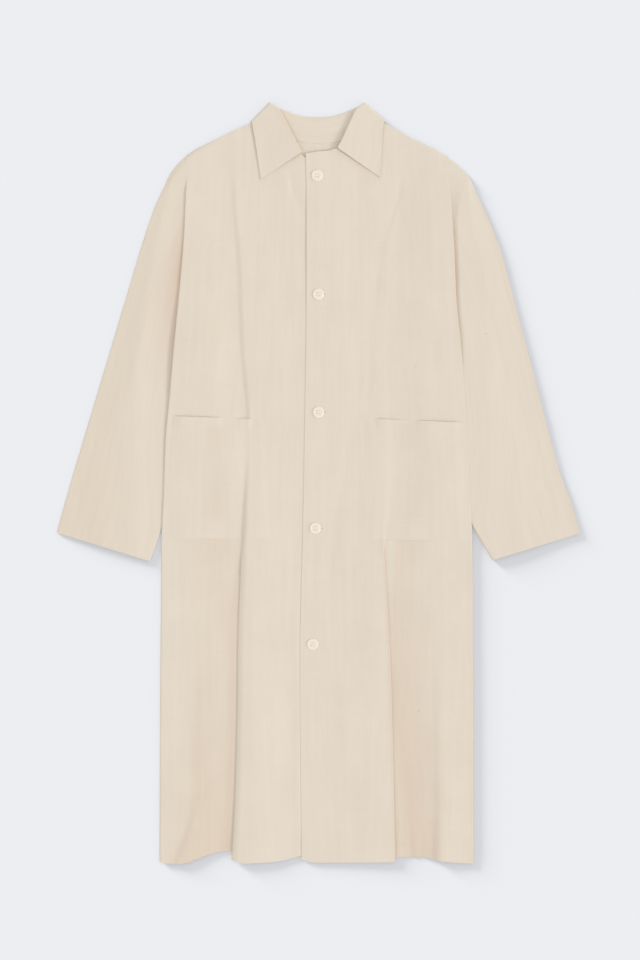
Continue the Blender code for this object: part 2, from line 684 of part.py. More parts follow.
def build_buttons(material):
    """The buttons, lying on the left front and tilted with it."""
    mesh = button_mesh()
    for number, (x, y) in enumerate(BUTTON_PLACES, start=1):
        above = front_height(LEFT_FRONT, x, y + BUTTON_RADIUS)
        below = front_height(LEFT_FRONT, x, y - BUTTON_RADIUS)
        middle = front_height(LEFT_FRONT, x, y)
        seat = max(middle, (above + below) / 2) + CLOTH / 2 + SEAM_GAP
        button = add_object(f"button_{number}", mesh.copy(), material)
        button.location = (x * MM, y * MM, seat * MM)
        button.rotation_euler.x = math.atan2(above - below, 2 * BUTTON_RADIUS)


def main():
    for obj in list(bpy.data.objects):
        bpy.data.objects.remove(obj)
    coat = bpy.data.collections.new("linen_coat")
    bpy.context.scene.collection.children.link(coat)
    origin = bpy.data.objects.new("coat_origin", None)
    coat.objects.link(origin)
    cloth = finish("natural_linen", FLAX, FLAX_ROUGHNESS)
    shell = finish("pale_button", SHELL_WHITE, SHELL_ROUGHNESS)
    build_back(cloth)
    build_front("right_front", RIGHT_FRONT, cloth)
    build_front("left_front", LEFT_FRONT, cloth)
    build_sleeve("right_sleeve", RIGHT_SLEEVE, cloth)
    build_sleeve("left_sleeve", LEFT_SLEEVE, cloth)
    build_collar(cloth)
    for name, pocket in POCKETS.items():
        build_pocket(name, pocket, cloth)
    build_buttons(shell)


main()
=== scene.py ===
"""Looks of a linen duster coat that lies flat with its front up.

The packed solids are the frame. Each cloth piece is a thin shell on its solid's form, worked out
from the same sections with many more points, and gets creases, hems, sewing and a weave.
The tables are in millimetres and the scene is in metres. X runs across the coat, +Y from the hem
to the collar and +Z up. Right and left are the wearer's, so the right front is on the -X side.
"""

import math
from types import SimpleNamespace

import bpy
import numpy as np
from bpy.props import FloatProperty, FloatVectorProperty, IntProperty, PointerProperty
from mathutils import Euler, Matrix, Vector


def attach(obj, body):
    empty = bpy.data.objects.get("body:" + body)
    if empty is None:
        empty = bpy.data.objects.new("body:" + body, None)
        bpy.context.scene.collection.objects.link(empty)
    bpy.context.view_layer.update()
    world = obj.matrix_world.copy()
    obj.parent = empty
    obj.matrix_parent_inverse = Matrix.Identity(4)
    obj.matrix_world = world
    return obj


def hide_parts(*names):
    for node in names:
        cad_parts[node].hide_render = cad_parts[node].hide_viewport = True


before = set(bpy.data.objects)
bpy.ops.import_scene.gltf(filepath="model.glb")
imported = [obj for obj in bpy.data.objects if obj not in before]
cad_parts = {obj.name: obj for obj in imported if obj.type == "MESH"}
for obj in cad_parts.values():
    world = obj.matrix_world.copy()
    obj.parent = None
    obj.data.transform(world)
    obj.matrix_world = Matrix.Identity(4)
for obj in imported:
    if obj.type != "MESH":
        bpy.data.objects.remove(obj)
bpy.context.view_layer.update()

bl_info = {
    "name": "Linen Duster Coat",
    "version": (1, 0, 0),
    "blender": (4, 5, 0),
    "location": "3D View > Sidebar > Coat",
    "description": "Builds a linen duster coat that lies flat on a pale floor",
    "category": "Object",
}


MM = 0.001
BODY = "root"
UV_NAME = "cloth"
# Name of the point attribute that holds each point's weight of painted shade
PAINTED_SHADE_ATTRIBUTE = "shade"
COAT_GROUP = "coat"
STAGE_GROUP = "stage"

# Middle heights of the cloth layers above the floor
FLOOR_LAYER = 0.6
FRONT_LAY = 2.7
FOLD_LAY = 2.4
SHOULDER_SEAT = 2.1

# A front climbs to its fold, is level over what is tucked under, and climbs again to its side
FOLD_CLIMB = 80.0
FOLD_LEVEL = 6.0
LEVEL_STATION = 0.8
SIDE_LEVEL = 3.0
SIDE_CLIMB_LEAST = 20.0

# Shares of a fold's and of a turned edge's stations that its bends take
FOLD_BEND_SHARE = 0.4
TURN_BEND_SHARE = 0.5

# Angles of bends: up to which a fold's first bend is soft, and a quarter turn in degrees
SOFT_ANGLE = math.radians(30)
QUARTER_TURN = 90

# Distances over which a front drops at its shoulder and is pressed at its hem, and by what share
SHOULDER_ROUND = 9.0
HEM_SETTLE = 28.0
HEM_PRESS = 0.3

# Widths up to which a front is raised fully, and at all, where one lies on the other
OVERLAP_FLAT = 32.0
OVERLAP_END = 64.0

# The collar's back fall lies under the back, so an oval of cloth round the neck is raised
NECK_RISE = 1.9
NECK_CENTRE_Y = 548.0
NECK_HALF_WIDTH = 118.0
NECK_HALF_LENGTH = 62.0
NECK_LEVEL = 1.15
NECK_SLOPE = 0.75

# Stations across a front: the end of its side part, and the stretches where its hem's seam shows
SIDE_STATION = 3
HEM_SEAMS = ((0, 0.98), (2.02, SIDE_STATION))

# Station beyond which the grain is measured from another one, at the side
GRAIN_STATIONS = (1.5, SIDE_STATION)

# Levels of the shoulder points and of the back's hem
SHOULDER_Y = 508.0
BACK_HEM_Y = -566.0

# Width from which on a front's top drops to the shoulder seam, and over what width that sets in
FRONT_NECK_CORNER = 95.0
NECK_CORNER_BLEND = 10.0

# Last rows of the tables of the sleeves and of the collar
LAST_RING = 12
COLLAR_LAST_ROW = 5

# Rows and columns of points at which each surface is worked out
FRONT_ROWS = 324
FRONT_TOP_ROWS = 14
FRONT_TOP_SHARE = 0.988
FRONT_COLUMNS = [(0, 0.3, 11), (0.3, 0.44, 20), (0.44, 0.8, 18), (0.8, 1, 8), (1, 1.4, 18),
                 (1.4, 1.6, 4), (1.6, 2, 10), (2, 3, 36), (3, 4, 12), (4, 5, 5)]
BACK_ROWS = 130
BACK_COLUMNS = 61
SLEEVE_ROWS = 170
SLEEVE_FRONT_COLUMNS = 66
SLEEVE_BACK_COLUMNS = 14
SLEEVE_ROLL_COLUMNS = 10
COLLAR_ROWS = 40
COLLAR_STAND_COLUMNS = 10
COLLAR_ROLL_COLUMNS = 14
COLLAR_FALL_COLUMNS = 36
COLLAR_CREASE_ROWS = 12
POCKET_ROWS = 95
POCKET_COLUMNS = 90

# Rounds in which a front's top edge is found, samples of its stations and the step of a slope
FRONT_TOP_ROUNDS = 3
STATION_SAMPLES = 301
STATION_STEP = 0.01

# Angle in degrees above which an edge of the cloth stays sharp
SHARP_ANGLE = 50.0

# Lumps of the cloth as it settles: size across and along, height and seed of each
LUMPS = [(62.0, 130.0, 0.20, 11), (24.0, 48.0, 0.07, 12), (9.0, 16.0, 0.02, 13)]
LUMP_GRID = 64

# Height above the floor layer over which lumps and creases set in
LIFT_REACH = 2.0

# How much the collar's seam drops at the nape, and how the fall sinks to its edge
NAPE_SEAM_DROP = 1.0
FALL_EASE = 1.6

# Patch pockets: height above the front, loose and at sewn edges, and distances of the changes
POCKET_LAYER = 0.84
POCKET_SEWN = 0.12
POCKET_TAPER = 18.0
POCKET_LOW_SEWN = 0.58
POCKET_LOW_TAPER = 7.0
POCKET_GAPE_DEPTH = 26.0

# Buttons, from the neck down: place in the plan and share of the slit's offset
BUTTON_PLACES = [(-2, 477, 0.1), (0, 293, 1), (0, 110, 1), (-5, -70, 1), (-9, -250, 0.1)]

# Shape of a button from its middle over the rim, as shares of its radius and of its thickness
BUTTON_PROFILE = [
    (0.0, 0.82), (0.3, 0.82), (0.48, 0.83), (0.56, 0.87), (0.63, 0.94), (0.69, 0.985), (0.75, 1.0),
    (0.8, 0.98), (0.86, 0.88), (0.92, 0.7), (0.965, 0.5), (0.99, 0.34), (1.0, 0.24), (0.985, 0.1),
    (0.94, 0.03), (0.86, 0.0), (0.4, 0.0), (0.0, 0.0),
]

# Faces of a button, its holes' depth in thicknesses, its sharp angle in degrees and its gap below
BUTTON_STEPS = 64
BUTTON_HOLE_SIDES = 20
BUTTON_HOLE_DEPTH = 4
BUTTON_SHARP_ANGLE = 40.0
BUTTON_SEAT_GAP = 0.05

# Strands between two holes of a button: how many, the faces of one and how round its rise is
STRANDS = 3
STRAND_SIDES = 6
STRAND_STEPS = 12
STRAND_ROUNDING = 0.5

# Buttonholes: points of a slit, which is a thin dark sheet of painted shade, and of the ring round
# it, wall, and how blunt their ends are
SLIT_POINTS = 24
SLIT_THICKNESS = 0.3
SLIT_BLUNT = 0.02
OVAL_POINTS = 80
OVAL_BLUNT = 0.6

# Seams: points on each, how many are evened out, and where a cuff's seam is looked for
SEAM_POINTS = 300
EVENED_POINTS = 15
CUFF_RINGS = 2
CUFF_ROWS = 60
CUFF_SHARES = (0.01, 0.99)

# Stitches: faces of one, the share that sinks in, and the least and most of its uneven size
STITCH_SEGMENTS = 6
STITCH_RINGS = 4
STITCH_SUNK = 0.125
STITCH_LEAST = (0.88, 0.9, 0.9)
STITCH_MOST = (1.08, 1.1, 1.1)

# Linen: fineness and weight of the threads along, the threads across, the streaks and the mottle
TONES = ((1.0, 0.5), (1.0, 0.55), (2.0, 0.7), (3.0, 0.7))
TONE_MIDDLE = 0.725
# Painted shade in the weave: how much darker the cloth is where its relief is low
WEAVE_PAINTED_SHADE = 0.08
WEAVE_RELIEF = 0.5
NOISE_ROUGHNESS = 0.5

# Stray dark fibres: middle in the plan and half sizes
FLECKS = [((259.7, 231.5), (1.6, 1.2)), ((150.3, 180.3), (3.2, 0.6)), ((156.5, -353.8), (3.0, 0.6))]
FLECK_WEIGHT = 0.55
FLECK_CORE = 0.3

# Finishes of the other pieces
THREAD_ROUGHNESS = 0.85
SLIT_ROUGHNESS = 0.95
FLOOR_ROUGHNESS = 0.9
BUTTON_ROUGHNESS = 0.5
BUTTON_POLISH = 0.06
BUTTON_POLISH_ROUGHNESS = 0.2
BUTTON_CLOUD = (0.004, 0.009)
BUTTON_CLOUD_DETAIL = 2.0
BUTTON_CLOUD_SHADE = 0.9


def smoothstep(share):
    """Ease from 0 to 1 with level ends."""
    share = np.clip(share, 0.0, 1.0)
    return share * share * (3 - 2 * share)


def smooth_tangents(keys, values):
    """Slopes of a curve through the points that bends smoothly and never overshoots them."""
    steps = np.diff(keys)
    slopes = np.diff(values) / steps
    tangents = np.zeros(len(keys))
    tangents[0] = slopes[0]
    tangents[-1] = slopes[-1]
    for i in range(1, len(keys) - 1):
        if slopes[i - 1] * slopes[i] > 0:
            before = 2 * steps[i] + steps[i - 1]
            after = steps[i] + 2 * steps[i - 1]
            tangents[i] = (before + after) / (before / slopes[i - 1] + after / slopes[i])
    return tangents


class Table:
    """Rows of named columns, read as smooth curves over the first column."""

    def __init__(self, names, rows):
        data = np.array(sorted(rows), float)
        self.keys = data[:, 0]
        self.columns = {name: (data[:, i + 1], smooth_tangents(self.keys, data[:, i + 1]))
                        for i, name in enumerate(names.split()[1:])}

    def at(self, key):
        """Values of all columns at keys, which are kept between the first and the last row."""
        key = np.clip(key, self.keys[0], self.keys[-1])
        i = np.clip(np.searchsorted(self.keys, key) - 1, 0, len(self.keys) - 2)
        step = self.keys[i + 1] - self.keys[i]
        t = (key - self.keys[i]) / step
        rise = (3 - 2 * t) * t * t
        start = t * (1 - t) ** 2 * step
        end = t * t * (t - 1) * step
        found = {}
        for name, (values, tangents) in self.columns.items():
            eased = values[i] + rise * (values[i + 1] - values[i])
            found[name] = eased + start * tangents[i] + end * tangents[i + 1]
        return SimpleNamespace(**found)


def crease(*rows, reach=()):
    """Table of a crease: its line, its height and its reach to both sides in X.

    A trough's height is negative. A reach that is the same all along is given once. Tables of
    painted shade have the same columns, with the weight of the painted shade as the height.
    """
    return Table("y x height low_side high_side", [(*row, *reach) for row in rows])


def numbered(columns, rows, heights=()):
    """Table whose key is each row's number, with the same heights at the end of every row."""
    return Table(columns, [(number, *row, *heights) for number, row in enumerate(rows)])


def front_tables(sign, fold, creases, shades, **others):
    """Tables of a front, with widths measured outwards from the middle line of the coat.

    A fold's first bend has its one radius where a row gives no softer one.
    """
    columns = {"overlap": "y rise", "edge": "y edge", "side": "y side bend radius under seat",
               "top": "width y", "hem": "station y"}
    tables = {name: Table(columns[name], rows) for name, rows in others.items()}
    fold = Table("y edge bend radius under soft", [(*row, row[3])[:6] for row in fold])
    return SimpleNamespace(sign=sign, fold=fold, creases=creases, shades=shades, **tables)


def sleeve_tables(sign, front, rings, puff, under, shades):
    """Tables of a sleeve: its rings' plan points at the outer and the underarm fold, and heights.

    The height rises outside the front's side, or from ahead of it where a row says how far.
    """
    puff = Table("y lay full reach taper ahead", [(*row, 0)[:6] for row in puff])
    rings = numbered("ring outer_x outer_y inner_x inner_y", rings)
    return SimpleNamespace(sign=sign, front=front, rings=rings, puff=puff, under=[under],
                           shades=shades)


def collar_table(rows, heights=()):
    """Table of a collar part: neck seam, roll line and outer edge in the plan, then three heights.

    They are those of the stand and of the fall at the roll and at the edge. A leaf's rows run from
    its front end to the shoulder, and the nape's from there to the middle of the back.
    """
    columns = "row neck_x neck_y roll_x roll_y outer_x outer_y stand fall edge"
    return numbered(columns, rows, heights)


# Top edges of the shoulders from the neck out, as width and level
RIGHT_SHOULDER = [(95, 562.5), (106, 558), (122, 551), (147, 539), (175, 525), (190, 517.5),
                  (204, 508)]
LEFT_SHOULDER = [(92, 561.5), (104, 557.5), (120, 548.5), (148, 533), (176, 520), (200.5, 506)]

# A crease that both fronts share, because one lies on the other there
SHARED_CREASE = crease((110, 52, 0, 8, 10), (72, 48, -0.45, 8, 10), (-18, 34, -0.55, 9, 11),
                       (-127, 20, -0.45, 8, 10), (-190, 14, 0, 8, 10))

RIGHT_FRONT = front_tables(
    sign=-1,
    overlap=[(508, 0), (-588, 0)],
    edge=[(508, -31), (-588, -31)],
    side=[
        (508, 205, 4, 6, 1, 5.2), (472, 204.4, 5, 6, 1, 5.2), (461, 204.7, 50, 1.4, 0.2, 4.8),
        (452, 205.2, 120, 1.1, 0.2, 3.8), (444, 205.4, 178, 1.1, 0.2, 3.6),
        (438, 205.6, 180, 0.9, 1.5, 3.65), (425, 206.2, 180, 0.7, 6, 3.7),
        (385, 208, 180, 0.75, 11.5, 3.8), (312, 214, 180, 1, 22.7, 3.8),
        (210, 224, 180, 1.8, 39.9, 3.8), (118, 232, 180, 1.15, 54, 3.5),
        (67, 236.5, 180, 0.9, 44, 3.3), (-18, 239.5, 180, 0.6, 25, 3.2),
        (-73, 242, 180, 0.6, 14, 3.2), (-96, 243, 180, 1.2, 12, 2.3),
        (-130, 243.2, 180, 2, 12, 0.6), (-337, 245, 180, 2.2, 12, 0.6),
        (-588, 246, 180, 2.2, 12, 0.6),
    ],
    fold=[
        (548, 133, 1, 30, 3), (480, 131, 1.5, 30, 3), (452, 129.6, 11, 20, 3),
        (331, 121.5, 14, 17, 3), (202, 116, 18, 13, 3), (112, 108, 21, 9, 3), (94, 107.5, 7, 14, 3),
        (50, 107.5, 6, 14, 3), (24, 108.5, 16, 9, 3), (-26, 111.5, 36, 5, 3, 6),
        (-72, 114, 50, 3.6, 2.5, 8), (-96, 116.5, 64, 2, 1, 12), (-112, 118, 92, 1, 0.6, 16),
        (-130, 119.5, 140, 0.6, 0.9, 19), (-152, 120.5, 180, 0.52, 4, 20),
        (-248, 124, 180, 0.52, 10, 20), (-352, 125, 180, 0.55, 14, 20),
        (-476, 128, 180, 0.7, 18, 20), (-588, 134, 180, 0.9, 23, 20),
    ],
    top=[(-31, 503), (20, 505), (24, 508), (61, 539), *RIGHT_SHOULDER],
    hem=[
        (0, -570), (0.35, -578.5), (0.42, -582), (0.5, -585.5), (0.66, -588.5), (0.9, -590),
        (1, -588), (1.5, -575), (2, -568), (2.35, -573), (2.8, -591), (3, -589), (4, -583),
        (5, -580),
    ],
    creases=[
        SHARED_CREASE,
        crease((492, -49, 0, 5, 10), (475, -45, -0.8, 5, 10), (438, -34, -0.9, 5, 11),
               (404, -25, 0, 5, 10)),
        crease((-170, -30, 0), (-260, -31.3, 0.6), (-340, -30.8, 0.7), (-480, -29.6, 0.7),
               (-545, -29, 0.75), (-588, -28.8, 0.8), reach=(12, 2)),
        crease((120, -134, 0, 26, 17), (84, -134, 1.8, 28, 17), (46, -135, 1.9, 28, 18),
               (0, -137, 1.6, 28, 21), (-62, -138, 1.1, 26, 20), (-125, -138, 0, 24, 20)),
        crease((-240, -172, 0, 10, 24), (-337, -176, 0.4, 9, 26), (-407, -182, 0.6, 7, 28),
               (-469, -183, 0.8, 6, 28), (-515, -189, 1, 6, 30), (-539, -197, 1.1, 6, 32),
               (-588, -216, 1.1, 6, 34)),
        crease((-520, -98, 0), (-565, -98, -0.9), (-588, -98, -1.2), reach=(34, 30)),
    ],
    # Painted shade: darker, warmer cloth on the side part, below the pocket, in the recess beside
    # the fold, along a second crease, near the hem and under the collar leaf
    shades=[
        crease((440, -172, 0, 40, 36), (330, -174, 0.13, 40, 36), (150, -176, 0.13, 42, 36),
               (95, -176, 0, 40, 36)),
        crease((-60, -160, 0, 40, 40), (-86, -160, 0.5, 40, 36), (-150, -158, 0.3, 40, 38),
               (-337, -160, 0.28, 36, 42), (-480, -158, 0.3, 34, 40), (-588, -165, 0.34, 36, 40)),
        crease((-100, -122, 0, 7, 3), (-152, -126.5, 0.4, 7, 3.5), (-248, -130.5, 0.6, 9, 3.5),
               (-352, -131.5, 0.65, 10, 3.5), (-476, -135, 0.7, 13, 3.5),
               (-588, -141, 0.7, 14, 3.5)),
        crease((-260, -184, 0, 8, 30), (-337, -186, 0.26, 12, 30), (-420, -190, 0.32, 8, 32),
               (-469, -190, 0.32, 6, 34), (-515, -196, 0.34, 5, 38), (-588, -222, 0.34, 5, 46)),
        crease((-400, -205, 0, 40, 40), (-480, -205, 0.22, 50, 40), (-540, -205, 0.26, 60, 45),
               (-588, -200, 0.3, 60, 50)),
        crease((512, -24, 0.12, 6, 18), (492, -55, 0.22, 6, 22), (471, -87, 0.18, 6, 26),
               (455, -87, 0, 8, 26)),
    ],
)

LEFT_FRONT = front_tables(
    sign=1,
    overlap=[(515, 1.2), (470, 0.9), (420, 1.3), (365, 1.7), (315, 1.3), (255, 0.9), (120, 0.8),
             (-480, 0.8), (-540, 0.9), (-588, 1.2)],
    edge=[(508, -19), (446, -18), (315, -18), (67, -21), (-88, -24), (-275, -28), (-588, -25.5)],
    side=[
        (508, 201.5, 4, 6, 1, 5.2), (472, 201.6, 5, 6, 1, 5.2), (461, 203.4, 50, 1.4, 0.2, 4.8),
        (452, 204.9, 120, 1.1, 0.2, 3.8), (444, 205.8, 178, 1.1, 0.2, 3.6),
        (438, 206.2, 180, 1.15, 1.5, 3.65), (425, 206.9, 180, 1.25, 9, 3.7),
        (351, 211, 180, 1.7, 20.5, 3.8), (284, 214, 180, 1.4, 28.5, 3.8),
        (218, 221, 180, 0.8, 40, 4.4), (165, 224.8, 180, 0.5, 47, 4.9),
        (118, 228.4, 180, 0.47, 54.5, 5), (67, 231, 180, 0.47, 43, 5), (-39, 236, 180, 0.47, 20, 5),
        (-73, 238, 180, 0.6, 14, 4.6), (-96, 238.5, 180, 1.1, 12, 2.6),
        (-130, 239, 180, 2, 12, 0.6), (-588, 240, 180, 2.2, 12, 0.6),
    ],
    fold=[
        (540, 128, 1, 30, 3), (443, 122, 1.5, 40, 3), (300, 106, 2, 50, 3), (180, 101, 2.5, 60, 3),
        (110, 104, 4, 40, 5), (67, 107, 6, 30, 8), (0, 105.5, 6.5, 28, 8), (-46, 103.5, 8, 22, 7),
        (-74, 101.8, 14, 11, 3.5), (-95, 101.4, 40, 2.4, 1.5), (-106, 101.7, 100, 1, 0.8),
        (-126, 103, 160, 0.75, 1.2), (-148, 104.4, 180, 0.75, 4), (-202, 108, 180, 0.8, 7),
        (-340, 114, 180, 0.9, 13), (-588, 119, 180, 1, 20),
    ],
    top=[(-19, 511.5), (-2, 514), (18, 516), (28, 519), (36, 517), (65, 541), *LEFT_SHOULDER],
    hem=[
        (0, -584), (0.15, -589), (1, -588), (1.5, -583), (2, -581), (2.45, -580), (2.7, -587),
        (3, -590), (4, -588), (5, -585),
    ],
    creases=[
        SHARED_CREASE,
        crease((-150, 186, 0, 6, 24), (-250, 187, 0.6, 6, 24), (-400, 188, 1.6, 6, 25),
               (-520, 188, 2.3, 5, 26), (-588, 187, 2.5, 5, 26)),
        crease((-130, 140, 0, 20, 22), (-230, 146, -0.7, 22, 24), (-400, 152, -1, 24, 24),
               (-588, 156, -0.9, 24, 22)),
        crease((482, 133, 0, 6, 4), (455, 127, -0.4, 7, 4), (396, 108, -0.55, 8, 4),
               (354, 96, -0.55, 8, 4), (295, 90, -0.6, 8, 4), (241, 84, -0.5, 8, 4),
               (179, 83, -0.5, 8, 4), (117, 74, -0.3, 7, 4), (70, 73, 0, 6, 4)),
        crease((-515, 141, 0), (-560, 143, -0.9), (-588, 144, -1), reach=(3, 3)),
        crease((-535, 161, 0), (-565, 160, -0.9), (-588, 159, -1), reach=(3, 4)),
        crease((112, 185, 0, 45, 34), (60, 184, 0.9, 45, 30), (-20, 184, 1.1, 45, 30),
               (-80, 183, 0.8, 45, 30), (-130, 182, 0, 45, 30)),
    ],
    # Painted shade: in the recess beside the fold, along the fold's lit rim, in a valley near the
    # hem, under the collar leaf and along the lit rims of the side
    shades=[
        crease((-62, 130, 0, 12, 34), (-88, 130, 0.42, 14, 40), (-130, 126, 0.34, 12, 42),
               (-190, 120, 0.45, 9, 44), (-337, 122, 0.7, 8, 50), (-480, 140, 0.85, 16, 44),
               (-588, 146, 0.9, 18, 38)),
        crease((-70, 103, 0, 5, 5), (-90, 102, 0.6, 4, 4), (-104, 102, 0.6, 4, 4),
               (-118, 102.5, 0.45, 3, 3), (-152, 104, 0.5, 3, 3), (-202, 107.5, 0.5, 3, 3),
               (-340, 113.5, 0.5, 3, 3), (-480, 117.5, 0.5, 3, 3), (-550, 120, 0.9, 3, 4),
               (-588, 121, 1, 3, 4)),
        crease((-515, 180, 0, 6, 5), (-550, 180, 0.5, 6, 5), (-588, 180, 0.65, 7, 5)),
        crease((520, 28, 0.3, 22, 8), (500, 58, 0.32, 26, 8), (474, 92, 0.26, 30, 8),
               (455, 92, 0, 30, 12)),
        crease((460, 203, 0, 3, 3), (438, 206, 0.4, 3, 3), (351, 211, 0.5, 3, 3),
               (284, 214, 0.5, 3, 3), (218, 221, 0.3, 3, 3), (165, 224.8, 0, 3, 3),
               (-90, 238.5, 0, 3, 3), (-130, 239.5, 0.6, 4, 4), (-588, 240.5, 0.6, 4, 4)),
    ],
)

# Back panel: widths of its two side edges, the top edge along shoulders and neck, and its creases
BACK_SIDE = Table("y right left", [(508, 202, 198.4), (114, 174.6, 170.6), (-47, 225, 222),
                                   (-130, 228.9, 224.7), (-566, 231.4, 225.4)])
BACK_TOP = Table("x y", [
    *((-width, y) for width, y in RIGHT_SHOULDER), (-80, 556.5), (-62, 544), (-40, 534),
    (-19, 529.5), (0, 528), (20, 529.5), (40, 534), (62, 544), (80, 556.5), *LEFT_SHOULDER,
])
BACK_CREASES = [
    crease((420, -60, 0, 14, 18), (300, -74, 0.5, 14, 18), (100, -92, 0.65, 16, 20),
           (-120, -104, 0.5, 16, 20), (-330, -112, 0.45, 15, 18), (-566, -118, 0.65, 16, 22)),
    crease((250, 40, 0, 12, 16), (120, 58, 0.45, 12, 16), (-60, 70, 0.6, 13, 17),
           (-260, 76, 0.35, 12, 16), (-420, 78, 0, 12, 16)),
    crease((-180, 150, 0, 16, 14), (-330, 156, 0.5, 16, 14), (-566, 166, 0.65, 18, 16)),
]

# Sleeves, and the height of their upper layer at the outer fold
OUTER_LAY = Table("y lay", [(508, 3.8), (470, 3.7), (400, 3.2), (-121, 3.2)])
RIGHT_SLEEVE = sleeve_tables(
    sign=-1,
    front=RIGHT_FRONT,
    rings=[
        (204, 508, 176, 113), (217, 495.5, 177.8, 108), (229, 480, 180, 102), (239, 459, 183, 94),
        (252, 431, 187, 83), (265, 395, 192.5, 68), (277, 357, 199, 50), (304, 267, 213, 12),
        (331, 177, 224, -18), (358, 87, 234, -46), (384, 0, 244, -73), (396, -42, 252, -95),
        (405.5, -77, 262, -121),
    ],
    puff=[
        (508, 5.2, 5.2, 45, 3.5), (478, 5.2, 5.2, 45, 4), (468, 4.6, 5.2, 45, 6),
        (455, 3.2, 5.2, 46, 14), (440, 2.75, 5.2, 50, 24), (400, 2.75, 5.4, 56, 44),
        (300, 2.5, 5.6, 62, 66), (207, 1.7, 5.6, 62, 72), (100, 2.2, 5.4, 50, 76),
        (-121, 2.3, 5, 45, 70),
    ],
    under=crease((230, -262, 0, 10, 12), (120, -296, 0.5, 11, 14), (0, -330, 0.6, 12, 14),
                 (-100, -352, 0.3, 12, 14)),
    # Painted shade over the sleeve's outer part, and a soft painted shadow beside the front's side
    # edge
    shades=[
        crease((470, -240, 0.2, 40, 24), (350, -270, 0.18, 50, 46), (250, -290, 0.2, 60, 56),
               (98, -335, 0.26, 70, 58), (-26, -355, 0.3, 70, 64), (-121, -380, 0.3, 70, 66)),
        crease((450, -206, 0, 12, 6), (410, -207, 0.4, 14, 6), (345, -212, 1, 19, 8),
               (270, -219, 0.9, 23, 8), (200, -226, 0.45, 22, 8), (120, -233, 0.05, 14, 8),
               (60, -236, 0, 12, 8)),
    ],
)
LEFT_SLEEVE = sleeve_tables(
    sign=1,
    front=LEFT_FRONT,
    rings=[
        (200.5, 506, 172, 113), (221, 488, 174, 108), (235, 472, 176.3, 102), (243, 453, 179, 94),
        (255, 427, 183.3, 83), (267, 401, 189, 68), (282, 362, 195.7, 50), (305, 276, 210, 12),
        (328, 190, 221, -18), (350, 105, 231.5, -46), (373, 20, 241, -69), (392, -32, 255, -93),
        (405.5, -78, 271, -120),
    ],
    puff=[
        (508, 5.2, 5.2, 45, 3.5), (478, 5.2, 5.2, 40, 4), (468, 4.6, 5.2, 32, 6),
        (455, 3.2, 5.2, 22, 14), (440, 2.7, 5.2, 16, 24), (400, 2.3, 5.2, 9, 44),
        (315, 2.3, 5.4, 8, 70), (206, 3.5, 5.6, 5, 92, 0.5), (165, 4, 5.9, 4, 104, 3),
        (100, 4.1, 5.9, 4, 116, 4), (-39, 4.1, 5.9, 4, 130, 4), (-73, 3.8, 5.7, 8, 130, 2),
        (-120, 2.8, 5, 30, 120),
    ],
    under=crease((200, 270, 0, 12, 10), (90, 300, 0.5, 13, 11), (-20, 322, 0.6, 13, 11),
                 (-110, 340, 0.4, 13, 11)),
    # Painted shade along the outer fold, which dims the rim that the side light brightens
    shades=[
        crease((472, 236, 0), (427, 256, 0.5), (362, 283, 0.6), (276, 306, 0.6), (190, 329, 0.6),
               (105, 351, 0.6), (20, 374, 0.6), (-32, 393, 0.6), (-78, 406.5, 0.6), reach=(4, 4)),
    ],
)

# Collar: a leaf on each front, and the nape's two halves, which have the same heights all along
NAPE_HEIGHTS = (4.2, 0.8, 0.8)
RIGHT_LEAF = collar_table([
    (-28.5, 511, -24.5, 513.5, -89, 471, 6, 8.7, 5.4),
    (-37.5, 518, -31, 524, -91.5, 488, 6.1, 9.3, 5.8),
    (-48.5, 528.5, -40, 541, -94, 505, 6.2, 9.9, 6.3),
    (-61.5, 538.5, -51, 562, -97, 527, 6.2, 10.1, 6.6),
    (-77, 553, -62.5, 581, -100.5, 546, 6.2, 9.9, 6.8),
    (-90, 566, -72.5, 587.5, -102.5, 559, 6.2, 9.6, 7),
])
LEFT_LEAF = collar_table([
    (34, 514.5, 30, 520, 96, 474, 7.3, 9.5, 5.5),
    (42, 520.5, 35, 529, 97.5, 490, 7.1, 9.8, 5.9),
    (53, 530.5, 41, 542, 98.5, 507, 6.7, 10.1, 6.3),
    (65, 541.5, 49.5, 561, 99.5, 528, 6.4, 10.1, 6.6),
    (77, 554, 60, 581, 100.5, 547, 6.2, 9.9, 6.8),
    (87, 566, 69, 587, 102, 559, 6.2, 9.6, 7),
])
RIGHT_NAPE = collar_table([
    (-90, 566, -72.5, 587.5, -102.5, 559), (-80, 556, -66, 584, -92, 541),
    (-62, 543, -50, 577, -72, 523), (-40, 533, -32, 570.5, -45, 510),
    (-19, 528.5, -16, 567.5, -20, 504), (0, 527, 0, 567, 0, 502),
], NAPE_HEIGHTS)
LEFT_NAPE = collar_table([
    (87, 566, 69, 587, 102, 559), (79, 556.5, 63, 584.5, 92, 541), (62, 543, 49, 578, 72, 523),
    (40, 533, 32, 571.5, 45, 510), (20, 528.5, 17, 568, 20, 504), (0, 527, 0, 567, 0, 502),
], NAPE_HEIGHTS)
# Painted shade along the right leaf's roll, which dims the rim that the side light brightens
COLLAR_PAINTED_SHADES = [
    crease((508, -22, 0.4), (541, -40, 0.5), (562, -51, 0.5), (586, -66, 0.3), reach=(4, 4)),
]

